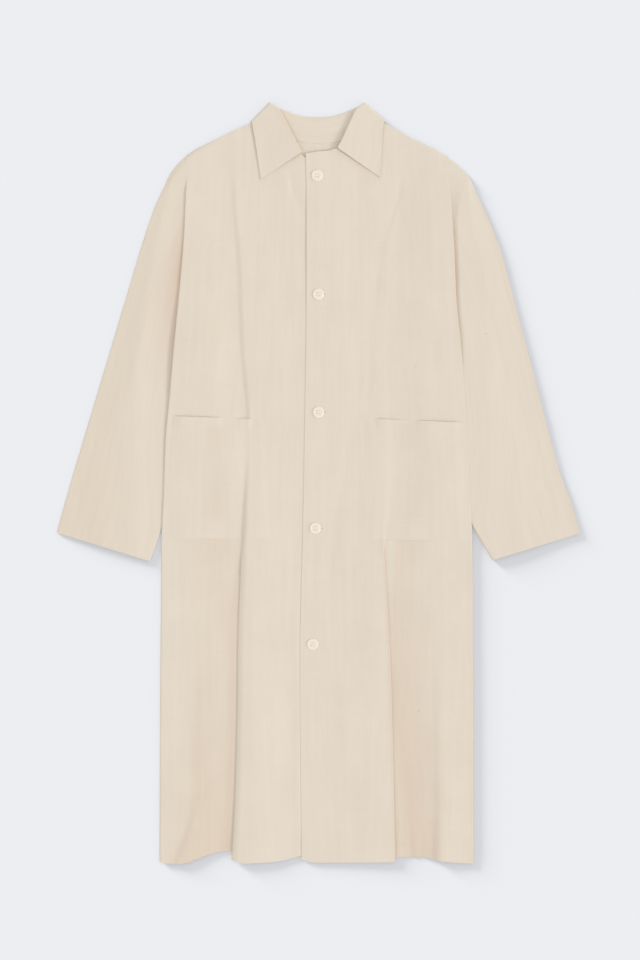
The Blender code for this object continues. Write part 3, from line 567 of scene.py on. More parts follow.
# Patch pockets: edges in the plan, and how far the top stands off along its width
GAPE_COLUMNS = "across gape"
RIGHT_POCKET = SimpleNamespace(
    front=RIGHT_FRONT, inner=74.0, inset=9.0, top_inner=98.5, top_outer=104.0, bottom=-86.0,
    gape=Table(GAPE_COLUMNS, [(0, 0), (0.18, 0), (0.23, 1.8), (0.3, 1.6), (0.36, 0.1), (0.48, 0.05),
                              (0.54, 1.5), (0.72, 2.2), (0.9, 2.2), (0.97, 1), (1, 0.2)]),
    # Painted shade: darker patches near the pocket's top and above its bottom
    shades=[
        crease((98, -160, 0, 16, 16), (80, -160, 0.3, 16, 16), (62, -158, 0.3, 16, 16),
               (30, -155, 0.12, 20, 16), (5, -155, 0.1, 24, 16), (-25, -160, 0.26, 28, 18),
               (-50, -158, 0.33, 30, 20), (-68, -162, 0.08, 34, 22), (-86, -165, 0, 34, 22)),
    ],
)
LEFT_POCKET = SimpleNamespace(
    front=LEFT_FRONT, inner=72.0, inset=4.5, top_inner=100.5, top_outer=94.0, bottom=-88.0,
    gape=Table(GAPE_COLUMNS, [(0, 0), (0.09, 0), (0.17, 1.8), (0.22, 1.9), (0.29, 1.3), (0.38, 0.6),
                              (0.43, 0.1), (0.5, 0.05), (0.56, 1.2), (0.75, 2.3), (0.9, 2.4),
                              (0.95, 1), (1, 0.3)]),
    # Painted shade: darker patches near the pocket's top and above its bottom, and along the fold's
    # lit rim near the bottom
    shades=[
        crease((98, 150, 0, 14, 14), (80, 148, 0.25, 14, 16), (60, 150, 0.25, 14, 16),
               (20, 150, 0, 16, 18), (-20, 140, 0.1, 18, 26), (-52, 142, 0.26, 20, 26),
               (-70, 144, 0.05, 22, 26), (-88, 146, 0, 22, 26)),
        crease((-40, 103, 0), (-70, 102, 0.25), (-88, 101.5, 0.45), reach=(4, 4)),
    ],
)

SLEEVES = {"right_sleeve": RIGHT_SLEEVE, "left_sleeve": LEFT_SLEEVE}
FRONTS = {"right_front": RIGHT_FRONT, "left_front": LEFT_FRONT}
POCKETS = {"right_pocket": RIGHT_POCKET, "left_pocket": LEFT_POCKET}


def length_setting(name, description, default):
    """A length in metres for a settings group."""
    return FloatProperty(name=name, description=description, default=default, min=0.0,
                         unit="LENGTH", subtype="DISTANCE", precision=5)


def colour_setting(name, description, default):
    """A linear colour for a settings group."""
    return FloatVectorProperty(name=name, description=description, default=default, size=3,
                               min=0.0, max=1.0, subtype="COLOR")


def angle_setting(name, description, degrees):
    """An angle for a settings group."""
    return FloatProperty(name=name, description=description, default=math.radians(degrees),
                         subtype="ANGLE", unit="ROTATION")


def share_setting(name, description, default):
    """A share from 0 to 1 for a settings group."""
    return FloatProperty(name=name, description=description, default=default, min=0.0, max=1.0,
                         subtype="FACTOR")


def strength_setting(name, description, default):
    """A light's strength for a settings group."""
    return FloatProperty(name=name, description=description, default=default, min=0.0)


class COAT_PG_cloth(bpy.types.PropertyGroup):
    """Cloth and weave"""

    thickness: length_setting("Thickness", "Thickness of the linen", 0.0008)
    collar_thickness: length_setting("Collar Thickness", "Thickness of the lined collar", 0.0012)
    light: colour_setting("Light", "Colour of the light threads", (0.815, 0.727, 0.614))
    dark: colour_setting("Dark", "Colour of the dark threads", (0.735, 0.649, 0.532))
    # Painted shade: the tint by which the shade attribute darkens and warms cloth in pleats,
    # recesses, under edges and on lit rims
    painted_shade_tint: colour_setting("Fold Shade", "Tint of cloth deep in a pleat", (0.93, 0.86, 0.82))
    fleck: colour_setting("Fleck", "Colour of the stray dark fibres", (0.36, 0.27, 0.18))
    weave_pitch: length_setting("Weave Pitch", "Distance between two threads", 0.0006)
    slub_width: length_setting("Slub Width", "Width of a thick stretch of thread", 0.0009)
    slub_length: length_setting("Slub Length", "Length of a thick stretch of thread", 0.038)
    streak_width: length_setting("Streak Width", "Width of a faint streak along the cloth", 0.009)
    streak_length: length_setting("Streak Length", "Length of a faint streak", 0.14)
    mottle_size: length_setting("Mottle Size", "Size of the cloud-like shades", 0.07)
    relief: share_setting("Relief", "Strength of the weave's relief", 0.25)
    relief_depth: length_setting("Relief Depth", "Depth of the weave's relief", 0.0002)
    sheen: share_setting("Sheen", "Weight of the cloth's sheen", 0.12)
    roughness: share_setting("Roughness", "Roughness of the cloth", 0.9)


class COAT_PG_buttons(bpy.types.PropertyGroup):
    """Buttons and buttonholes"""

    radius: length_setting("Radius", "Radius of a button", 0.009)
    thickness: length_setting("Thickness", "Thickness of a button at its rim", 0.0017)
    hole_radius: length_setting("Hole Radius", "Radius of a sewing hole", 0.00075)
    hole_offset: length_setting("Hole Offset", "Half the distance between two holes", 0.0021)
    colour: colour_setting("Colour", "Colour of the buttons", (0.93, 0.84, 0.725))
    thread_width: length_setting("Thread Width", "Width of a sewing strand", 0.00045)
    thread_colour: colour_setting("Thread Colour", "Colour of the strands", (0.93, 0.84, 0.73))
    thread_rise: length_setting("Thread Rise", "Rise of the strands over the button", 0.00045)
    slit_length: length_setting("Slit Length", "Length of a buttonhole's slit", 0.0185)
    slit_width: length_setting("Slit Width", "Width of a buttonhole's slit", 0.0009)
    slit_offset: length_setting("Slit Offset", "Distance of a slit's middle from its button",
                                0.0035)
    slit_shade_colour: colour_setting("Slit Colour", "Shade inside a buttonhole", (0.42, 0.33, 0.24))
    satin_length: length_setting("Satin Length", "Length of a buttonhole stitch", 0.0017)
    satin_pitch: length_setting("Satin Pitch", "Distance between buttonhole stitches", 0.00055)


class COAT_PG_sewing(bpy.types.PropertyGroup):
    """Seams and hems"""

    stitch_length: length_setting("Stitch Length", "Length of a stitch", 0.0028)
    stitch_pitch: length_setting("Stitch Pitch", "Distance between stitches", 0.0034)
    thread_width: length_setting("Thread Width", "Width of the sewing thread", 0.0003)
    thread_colour: colour_setting("Thread Colour", "Colour of the thread", (0.82, 0.73, 0.615))
    edge_inset: length_setting("Edge Inset", "Distance of a seam from a front edge", 0.006)
    hem_inset: length_setting("Hem Inset", "Distance of a hem's seam from the hem", 0.025)
    pocket_inset: length_setting("Pocket Inset", "Distance of a pocket's seam from its edge", 0.004)
    collar_inset: length_setting("Collar Inset", "Distance of a seam from the collar's edge", 0.005)
    seed: IntProperty(name="Seed", description="Seed of the stitches' unevenness", default=7, min=0)


class COAT_PG_stage(bpy.types.PropertyGroup):
    """Floor, light and camera"""

    floor_size: length_setting("Floor Size", "Side of the floor", 60.0)
    floor_colour: colour_setting("Floor Colour", "Colour of the floor", (0.579, 0.589, 0.6125))
    dome: strength_setting("Dome", "Brightness of the even light from all round", 0.85)
    floor_light: strength_setting("Floor Light", "Side light on the floor", 0.3)
    floor_fill: strength_setting("Floor Fill", "Even light on the floor, shadowless", 0.3)
    coat_light: strength_setting("Coat Light", "Side light on the coat", 0.15)
    floor_turn: angle_setting("Floor Light Turn", "Where the floor's side light comes from", 141)
    floor_height: angle_setting("Floor Light Height", "Height of the floor's side light", 9)
    coat_turn: angle_setting("Coat Light Turn", "Where the coat's side light comes from", -12)
    coat_height: angle_setting("Coat Light Height", "Height of the coat's side light", 30)
    spread: angle_setting("Spread", "Softness of the shadows", 15)
    camera_place: FloatVectorProperty(name="Camera Place", description="Where the camera stands",
                                      default=(0.0028, 0.0048, 3.52), size=3, unit="LENGTH",
                                      subtype="XYZ")
    lens: FloatProperty(name="Lens", description="Focal length in millimetres",
                        default=85.0, min=1.0)


def in_mm(length):
    """A setting's length in millimetres."""
    return length / MM


def neck_rise(x, y):
    """Height by which the collar's back fall raises the cloth round the neck."""
    reach = np.hypot(x / NECK_HALF_WIDTH, (y - NECK_CENTRE_Y) / NECK_HALF_LENGTH)
    return NECK_RISE * (1 - smoothstep((reach - NECK_LEVEL) / NECK_SLOPE))


def soft_noise(x, y, across, along, seed):
    """Smooth unevenness from -1 to 1 of a given size across and along the coat."""
    draws = np.random.default_rng(seed).uniform(-1, 1, (LUMP_GRID, LUMP_GRID))
    column = np.floor(x / across).astype(int)
    row = np.floor(y / along).astype(int)
    right = smoothstep(x / across - column)
    up = smoothstep(y / along - row)
    low = draws[row % LUMP_GRID, column % LUMP_GRID] * (1 - right)
    low = low + draws[row % LUMP_GRID, (column + 1) % LUMP_GRID] * right
    high = draws[(row + 1) % LUMP_GRID, column % LUMP_GRID] * (1 - right)
    high = high + draws[(row + 1) % LUMP_GRID, (column + 1) % LUMP_GRID] * right
    return low * (1 - up) + high * up


def crease_height(creases, x, y):
    """Height of all creases of a piece at points of the plan, or weight of its painted shade."""
    total = np.zeros(np.shape(x))
    for table in creases:
        line = table.at(y)
        across = x - line.x
        reach = np.where(across < 0, line.low_side, line.high_side)
        total = total + line.height * np.exp(-(across / reach) ** 2)
    return total


def drape(creases, x, y, height):
    """Points of a surface with its lumps and creases, which fade out on the floor."""
    change = crease_height(creases, x, y)
    for across, along, lump, seed in LUMPS:
        change = change + lump * soft_noise(x, y, across, along, seed)
    height = height + change * smoothstep((height - FLOOR_LAYER) / LIFT_REACH)
    return np.stack([x, y, height], axis=-1)


def fold_step(fold, share):
    """Steps out and down at a share of a fold: a bend, a flat return and a bend back.

    The first bend is soft up to a certain angle.
    """
    angle = np.radians(fold.bend)
    flat_share = 1 - 2 * FOLD_BEND_SHARE
    bent = np.minimum(share / FOLD_BEND_SHARE, 1)
    first = angle * (bent + bent ** 2) / 2
    soft = np.minimum(first, SOFT_ANGLE)
    flat = fold.under * np.clip((share - FOLD_BEND_SHARE) / flat_share, 0, 1)
    last = angle * np.maximum((share - FOLD_BEND_SHARE - flat_share) / FOLD_BEND_SHARE, 0)
    out = fold.radius * (np.sin(first) - np.sin(soft) + np.sin(angle) - np.sin(angle - last))
    out = out + fold.soft * np.sin(soft)
    down = fold.radius * (np.cos(soft) - np.cos(first) + np.cos(angle - last) - np.cos(angle))
    down = down + fold.soft * (1 - np.cos(soft))
    return out + flat * np.cos(angle), down + flat * np.sin(angle)


def turn_step(turn, share):
    """Steps out and down at a share of an edge that is turned under: a bend and a return."""
    angle = np.radians(turn.bend)
    bent = angle * np.minimum(share / TURN_BEND_SHARE, 1)
    flat = turn.under * np.maximum((share - TURN_BEND_SHARE) / (1 - TURN_BEND_SHARE), 0)
    out = turn.radius * np.sin(bent) + flat * np.cos(angle)
    down = turn.radius * (1 - np.cos(bent)) + flat * np.sin(angle)
    return out, down


def front_section(front, y, station):
    """Width and height of a front at a station of its cross section.

    Stations 0 to 1 run from the front edge to the fold, 1 to 2 round the fold, 2 to 3 over
    the side part and 3 to 5 round the side and back under it.
    """
    y, station = np.broadcast_arrays(np.asarray(y, float), np.asarray(station, float))
    fold = front.fold.at(y)
    side = front.side.at(y)
    fold_out, fold_down = fold_step(fold, 1)
    turn_out, turn_down = turn_step(side, 1)
    steepest = np.sin(np.radians(np.minimum(fold.bend, QUARTER_TURN)))
    fold_start = fold.edge - fold.radius * steepest
    fold_start = fold_start - (fold.soft - fold.radius) * np.minimum(steepest, math.sin(SOFT_ANGLE))
    widest = TURN_BEND_SHARE * QUARTER_TURN / np.maximum(side.bend, QUARTER_TURN)
    turn_start = side.side - np.maximum(turn_out, turn_step(side, widest)[0])
    turn_top = side.seat + turn_down

    edge = front.edge.at(y).edge
    level = fold_start - np.maximum(-fold_out, 0) - FOLD_LEVEL
    beyond = (station - LEVEL_STATION) / (1 - LEVEL_STATION)
    flat_width = np.where(station <= LEVEL_STATION, edge + (level - edge) * station / LEVEL_STATION,
                          level + (fold_start - level) * beyond)
    climb = smoothstep((flat_width - level + FOLD_CLIMB) / FOLD_CLIMB)
    reach = (flat_width - OVERLAP_FLAT) / (OVERLAP_END - OVERLAP_FLAT)
    flat_height = FRONT_LAY + (FOLD_LAY + fold_down - FRONT_LAY) * climb
    flat_height = flat_height + front.overlap.at(y).rise * (1 - smoothstep(reach))

    bend_out, bend_down = fold_step(fold, np.clip(station - 1, 0, 1))
    inner = fold_start + fold_out
    side_width = inner + (turn_start - inner) * (station - 2)
    side_climb = np.maximum(turn_start + turn_out - SIDE_LEVEL - inner, SIDE_CLIMB_LEAST)
    side_rise = smoothstep((side_width - inner) / side_climb)
    under_out, under_down = turn_step(side, np.clip((station - 3) / 2, 0, 1))

    parts = [station <= 1, station <= 2, station <= 3]
    width = np.select(parts, [flat_width, fold_start + bend_out, side_width],
                      turn_start + under_out)
    height = np.select(parts, [flat_height, FOLD_LAY + fold_down - bend_down,
                               FOLD_LAY + (turn_top - FOLD_LAY) * side_rise],
                       turn_top - under_down)
    return width, height


def front_top(front, station):
    """Top edge of a front at its stations."""
    top = np.full(np.shape(station), SHOULDER_Y)
    for _ in range(FRONT_TOP_ROUNDS):
        width = front_section(front, top, np.minimum(station, SIDE_STATION))[0]
        top = front.top.at(width).y
    return top


def front_points(front, y, station):
    """Points of a front with its lumps and creases."""
    width, height = front_section(front, y, station)
    inside = np.clip((front_top(front, station) - y) / SHOULDER_ROUND, 0, 1)
    drop = 1 - np.sqrt(1 - (1 - inside) ** 2)
    shoulder = smoothstep((width - FRONT_NECK_CORNER) / NECK_CORNER_BLEND + 1)
    height = height + (SHOULDER_SEAT - height) * drop * shoulder
    press = HEM_PRESS * (1 - smoothstep((y - front.hem.at(station).y) / HEM_SETTLE))
    height = height - (height - FLOOR_LAYER) * press
    x = front.sign * width
    return drape(front.creases, x, y, height + neck_rise(x, y))


def front_stations():
    """Stations of a front at which its points are worked out."""
    parts = [np.linspace(start, end, count, endpoint=False) for start, end, count in FRONT_COLUMNS]
    return np.append(np.concatenate(parts), FRONT_COLUMNS[-1][1])


def front_grid(front):
    """All points of a front, row by row from the hem to the top."""
    station = front_stations()
    low = np.linspace(0, FRONT_TOP_SHARE, FRONT_ROWS, endpoint=False)
    high = np.linspace(FRONT_TOP_SHARE, 1, FRONT_TOP_ROWS)
    share = np.concatenate([low, high])[:, None]
    hem = front.hem.at(station).y
    y = hem + (front_top(front, station) - hem) * share
    return front_points(front, y, np.broadcast_to(station, y.shape))


def station_at(front, width, y):
    """Stations of a front at widths of one level of the coat, away from its folds."""
    stations = np.linspace(0, SIDE_STATION, STATION_SAMPLES)
    return np.interp(width, front_section(front, y, stations)[0], stations)


def front_height(front, x, y):
    """Height of a front's middle at a point of the plan."""
    station = station_at(front, front.sign * x, y)
    return float(front_points(front, np.array(float(y)), np.array(float(station)))[2])


def back_grid():
    """Points of the back, flat on the floor and raised over the collar's fall at the neck."""
    share = np.linspace(0, 1, BACK_ROWS)[:, None]
    across = np.linspace(0, 1, BACK_COLUMNS)
    shoulder = BACK_SIDE.at(SHOULDER_Y)
    side = BACK_SIDE.at(BACK_HEM_Y + (SHOULDER_Y - BACK_HEM_Y) * share)
    top_x = -shoulder.right + (shoulder.right + shoulder.left) * across
    x = -side.right + (side.right + side.left) * across
    y = BACK_HEM_Y + (BACK_TOP.at(top_x).y - BACK_HEM_Y) * share
    height = FLOOR_LAYER + neck_rise(x, y) + crease_height(BACK_CREASES, x, y)
    return np.stack([x, y, height], axis=-1)


def sleeve_height(sleeve, width, y, inward):
    """Height of a sleeve's upper layer: low where the front lies on it, fuller outside.

    It falls again towards the outer fold, from which inward is the distance.
    """
    puff = sleeve.puff.at(y)
    outside = width - sleeve.front.side.at(y).side + puff.ahead
    height = puff.lay + (puff.full - puff.lay) * smoothstep(outside / puff.reach)
    outer = OUTER_LAY.at(y).lay
    return outer + (height - outer) * smoothstep(inward / puff.taper)


def edge_normals(x, y, sign):
    """Plan directions square to a line of points, on its outer or inner side."""
    along_x = np.gradient(x)
    along_y = np.gradient(y)
    run = np.hypot(along_x, along_y)
    return np.stack([-along_y / run, along_x / run], axis=-1) * sign


def sleeve_edges(sleeve, rings):
    """Outer and underarm lines of a sleeve: middle of the roll, direction out and radius."""
    row = sleeve.rings.at(rings)
    edges = []
    for x, y, sign, inward in ((row.outer_x, row.outer_y, 1, 0.0),
                               (row.inner_x, row.inner_y, -1, math.inf)):
        radius = (sleeve_height(sleeve, x, y, inward) - FLOOR_LAYER) / 2
        normal = edge_normals(x, y, sign)
        edges.append((np.stack([x, y], axis=-1) - normal * radius[:, None], normal, radius))
    return edges


def sleeve_front(sleeve, rings, share):
    """Points on a sleeve's upper layer, from its outer line to its underarm line."""
    (outer, _, _), (inner, _, _) = sleeve_edges(sleeve, rings)
    place = outer[:, None] + (inner - outer)[:, None] * share[:, None]
    inward = np.linalg.norm(inner - outer, axis=1)[:, None] * share
    height = sleeve_height(sleeve, place[..., 0], place[..., 1], inward)
    return drape([], sleeve.sign * place[..., 0], place[..., 1], height)


def sleeve_grid(sleeve):
    """Points of a sleeve, a flat tube from the armhole to the open cuff."""
    rings = np.linspace(0, LAST_RING, SLEEVE_ROWS)
    (outer, outward, outer_radius), (inner, inward, inner_radius) = sleeve_edges(sleeve, rings)
    upper = sleeve_front(sleeve, rings, np.linspace(0, 1, SLEEVE_FRONT_COLUMNS))
    turn = np.linspace(0, math.pi, SLEEVE_ROLL_COLUMNS)
    share = np.linspace(0, 1, SLEEVE_BACK_COLUMNS)[1:-1, None]

    def roll(middle, normal, radius, lift, end):
        place = middle[:, None] + (normal * radius[:, None])[:, None] * np.sin(turn)[:, None]
        height = FLOOR_LAYER + radius[:, None] * (1 + lift * np.cos(turn))
        fit = (1 + lift * np.cos(turn)) / 2
        height = height + (end[:, None] - FLOOR_LAYER - 2 * radius[:, None]) * fit
        return np.concatenate([place, height[..., None]], axis=-1)

    underarm = roll(inner, inward, inner_radius, 1, upper[:, -1, 2])
    top_roll = roll(outer, outward, outer_radius, -1, upper[:, 0, 2])
    lower = inner[:, None] + (outer - inner)[:, None] * share
    bottom = FLOOR_LAYER + crease_height(sleeve.under, sleeve.sign * lower[..., 0], lower[..., 1])
    lower = np.concatenate([lower, bottom[..., None]], axis=-1)
    for part in (underarm, lower, top_roll):
        part[..., 0] *= sleeve.sign
    return np.concatenate([upper[:, :-1], underarm, lower, top_roll], axis=1)


def collar_rows(leaf, numbers, seam_drop):
    """Points across the collar, from the neck seam over the roll to the outer edge."""
    row = vars(leaf.at(numbers))
    row = SimpleNamespace(**{name: value[:, None] for name, value in row.items()})
    reach = np.hypot(row.roll_x - row.neck_x, row.roll_y - row.neck_y)
    along_x = (row.roll_x - row.neck_x) / reach
    along_y = (row.roll_y - row.neck_y) / reach
    radius = np.abs(row.fall - row.stand) / 2
    base_x = row.roll_x - along_x * radius
    base_y = row.roll_y - along_y * radius
    share = np.linspace(0, 1, COLLAR_STAND_COLUMNS)
    stand = [row.neck_x + (base_x - row.neck_x) * share,
             row.neck_y + (base_y - row.neck_y) * share,
             row.stand - seam_drop * smoothstep(1 - share) ** 2]
    turn = np.linspace(0, math.pi, COLLAR_ROLL_COLUMNS)[1:]
    bulge = radius * np.sin(turn)
    roll = [base_x + along_x * bulge, base_y + along_y * bulge,
            row.stand + (row.fall - row.stand) * (1 - np.cos(turn)) / 2]
    share = np.linspace(0, 1, COLLAR_FALL_COLUMNS)[1:]
    fall = [base_x + (row.outer_x - base_x) * share, base_y + (row.outer_y - base_y) * share,
            row.edge + (row.fall - row.edge) * (1 - share) ** FALL_EASE]
    x, y, height = (np.concatenate(part, axis=1) for part in zip(stand, roll, fall))
    return drape([], x, y, height)


def shoulder_crease(leaf_row, nape_row, sign):
    """Rows that turn the collar over the shoulder, from the leaf in front to the nape."""
    run_x, run_y, _ = np.abs(leaf_row[-1] - leaf_row[COLLAR_STAND_COLUMNS - 1])
    out = np.array([sign * run_y, run_x]) / math.hypot(run_x, run_y)
    share = np.linspace(0, 1, COLLAR_CREASE_ROWS + 1)[1:-1, None]
    radius = (leaf_row[:, 2] - nape_row[:, 2]) / 2
    bulge = radius * np.sin(math.pi * share)
    plan = leaf_row[:, :2] + (nape_row - leaf_row)[:, :2] * share[..., None]
    plan = plan + bulge[..., None] * out
    height = (leaf_row[:, 2] + nape_row[:, 2]) / 2 + radius * np.cos(math.pi * share)
    return np.concatenate([plan, height[..., None]], axis=-1)


def collar_grid():
    """Points of the collar in one piece, folded over at both shoulders."""
    numbers = np.linspace(0, COLLAR_LAST_ROW, COLLAR_ROWS)
    halves = []
    for leaf, nape, sign in ((RIGHT_LEAF, RIGHT_NAPE, -1), (LEFT_LEAF, LEFT_NAPE, 1)):
        leaf_rows = collar_rows(leaf, numbers, 0)
        nape_rows = collar_rows(nape, numbers, NAPE_SEAM_DROP)
        turned_rows = shoulder_crease(leaf_rows[-1], nape_rows[0], sign)
        halves.append(np.concatenate([leaf_rows, turned_rows, nape_rows]))
    return np.concatenate([halves[0], halves[1][-2::-1]])


def pocket_points(pocket, across, down):
    """Points of a patch pocket: the front's own, moved out by a layer square to its section."""
    front = pocket.front
    across, down = np.broadcast_arrays(across, down)
    middle_y = pocket.top_inner + (pocket.bottom - pocket.top_inner) * down
    outer = front.side.at(middle_y).side - pocket.inset
    width = pocket.inner + (outer - pocket.inner) * across
    top = pocket.top_inner + (pocket.top_outer - pocket.top_inner) * across
    y = top + (pocket.bottom - top) * down
    station = np.stack([station_at(front, row, level[0]) for row, level in zip(width, middle_y)])
    place = front_points(front, y, station)
    run = front_points(front, y, station + STATION_STEP)
    run = run - front_points(front, y, station - STATION_STEP)
    length = np.hypot(run[..., 0], run[..., 2])
    gape = pocket.gape.at(across).gape * (1 - smoothstep((top - y) / POCKET_GAPE_DEPTH))
    inside = np.minimum(np.minimum(width - pocket.inner, outer - width), top - y)
    layer = POCKET_SEWN + (POCKET_LAYER - POCKET_SEWN) * smoothstep(inside / POCKET_TAPER)
    above = smoothstep((y - pocket.bottom) / POCKET_LOW_TAPER)
    layer = np.minimum(layer, POCKET_LOW_SEWN + (POCKET_LAYER - POCKET_LOW_SEWN) * above)
    place[..., 0] -= front.sign * layer * run[..., 2] / length
    place[..., 2] += layer * np.abs(run[..., 0]) / length + gape
    return place


def collection(name):
    """The scene's collection of that name, made when it is first asked for."""
    found = bpy.data.collections.get(name)
    if found is None:
        found = bpy.data.collections.new(name)
        bpy.context.scene.collection.children.link(found)
    return found


def add_object(name, mesh, material, group=None):
    """A new object with one material, in the coat's collection or another one."""
    obj = bpy.data.objects.new(name, mesh)
    collection(group or COAT_GROUP).objects.link(obj)
    mesh.materials.clear()
    mesh.materials.append(material)
    return obj


def plain_mesh(obj):
    """Turn an object's modifiers into plain mesh."""
    graph = bpy.context.evaluated_depsgraph_get()
    mesh = bpy.data.meshes.new_from_object(obj.evaluated_get(graph))
    obj.modifiers.clear()
    obj.data = mesh
    return obj


def cloth_mesh(name, points, around=False, shades=(), grain=None):
    """Mesh of a grid of points in millimetres, with lengths along the cloth in metres as UV map.

    Grain names a column of the grid and another from which the lengths beyond it are measured.
    Shades give each point a weight of painted shade, kept as a point attribute.
    """
    rows, columns, _ = points.shape
    across = np.linalg.norm(np.diff(points, axis=1), axis=2) * MM
    along = np.linalg.norm(np.diff(points, axis=0), axis=2) * MM
    u = np.pad(np.cumsum(across, axis=1), ((0, 0), (1, 0)))
    v = np.pad(np.cumsum(along, axis=0), ((1, 0), (0, 0)))
    flat = (float(u[:, -1].max()), float(v[-1].max()))
    if grain:
        u[:, grain[0]:] -= u[:, [grain[1]]] - u[0, grain[1]]
    index = np.arange(rows * columns).reshape(rows, columns)
    corners = np.stack([index[:-1, :-1], index[:-1, 1:], index[1:, 1:], index[1:, :-1]], axis=-1)
    corners = corners.reshape(-1, 4)
    place = points.reshape(-1, 3)
    first = place[corners[(rows - 1) // 2 * (columns - 1) + 1]]
    if np.cross(first[1] - first[0], first[2] - first[1])[2] < 0:
        corners = corners[:, ::-1]
    if around:
        index[:, -1] = index[:, 0]
    used, numbers = np.unique(index.ravel()[corners], return_inverse=True)
    mesh = bpy.data.meshes.new(name)
    mesh.from_pydata((place[used] * MM).tolist(), [], numbers.reshape(-1, 4).tolist())
    lengths = np.stack([u.ravel(), v.ravel()], axis=-1)[corners.ravel()]
    mesh.uv_layers.new(name=UV_NAME).uv.foreach_set("vector", lengths.ravel())
    # Weight of painted shade at each point, from the piece's tables of painted shade
    shade = crease_height(shades, place[used, 0], place[used, 1])
    mesh.attributes.new(PAINTED_SHADE_ATTRIBUTE, "FLOAT", "POINT").data.foreach_set("value", shade)
    ends = place[corners] * MM
    double = np.cross(ends[:, 2] - ends[:, 0], ends[:, 3] - ends[:, 1])
    area = float(np.linalg.norm(double, axis=1).sum() / 2)
    return mesh, SimpleNamespace(flat=flat, area=area)


def thicken(piece, thickness):
    """Give a sheet its thickness, half of it to each side."""
    wall = piece.modifiers.new("Wall", "SOLIDIFY")
    wall.thickness = thickness
    wall.offset = 0
    return plain_mesh(piece)


def cloth_piece(node, points, thickness=None, **looks):
    """A thin shell of linen on a grid of points, for one solid, and the size of its cut."""
    name = f"{node}_cloth"
    mesh, cut = cloth_mesh(name, points, **looks)
    thickness = thickness or bpy.context.scene.coat_cloth.thickness
    piece = thicken(add_object(name, mesh, linen_material()), thickness)
    piece.data.shade_smooth()
    piece.data.set_sharp_from_angle(angle=math.radians(SHARP_ANGLE))
    return piece, cut


def declare(piece, slot, *nodes):
    """Attach a piece to what it moves with, and hide the solids that it stands for."""
    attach(piece, BODY)
    if nodes:
        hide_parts(*nodes)
    return piece


def declare_cloth(node, piece, seams=()):
    """Sew a cloth piece along its seams, and hide the solid that it stands for."""
    stitches = bpy.context.scene.coat_sewing
    if seams:
        sew(f"{node}_stitches", seams, stitches.stitch_pitch, stitches.stitch_length)
    declare(piece, "linen", node)


def add_node(tree, kind, inputs=None, **settings):
    """Outputs of a new node with its settings, and with its inputs set or wired."""
    node = tree.nodes.new(kind)
    for name, value in settings.items():
        setattr(node, name, value)
    for key, value in (inputs or {}).items():
        if isinstance(value, bpy.types.NodeSocket):
            tree.links.new(value, node.inputs[key])
        else:
            node.inputs[key].default_value = value
    return node.outputs


def new_material(name, colour, roughness):
    """Material with a plain finish, its node tree and its shader."""
    material = bpy.data.materials.new(name)
    material.use_nodes = True
    shader = material.node_tree.nodes["Principled BSDF"]
    shader.inputs["Base Color"].default_value = (*colour, 1.0)
    shader.inputs["Roughness"].default_value = roughness
    return material, material.node_tree, shader


def maths(tree, operation, first, second=0.0):
    """Result of a sum on one or two values."""
    return add_node(tree, "ShaderNodeMath", {0: first, 1: second}, operation=operation)[0]


def vector_maths(tree, operation, first, second=(0.0, 0.0, 0.0)):
    """Result of a sum on one or two vectors."""
    sums = add_node(tree, "ShaderNodeVectorMath", {0: first, 1: second}, operation=operation)
    return sums["Value" if operation == "LENGTH" else "Vector"]


def blend(tree, share, first, second, blend_type="MIX"):
    """Colour between two others, each plain or from another node."""
    first, second = (value if isinstance(value, bpy.types.NodeSocket) else (*value, 1.0)
                     for value in (first, second))
    return add_node(tree, "ShaderNodeMix", {0: share, 6: first, 7: second}, data_type="RGBA",
                    blend_type=blend_type)[2]


def stretched_noise(tree, measures, width, length, detail):
    """Noise of a width and length in metres, along measures in metres."""
    place = vector_maths(tree, "MULTIPLY", measures, (1 / width, 1 / length, 1.0))
    looks = {"Vector": place, "Scale": 1.0, "Detail": detail, "Roughness": NOISE_ROUGHNESS}
    return add_node(tree, "ShaderNodeTexNoise", looks)["Fac"]


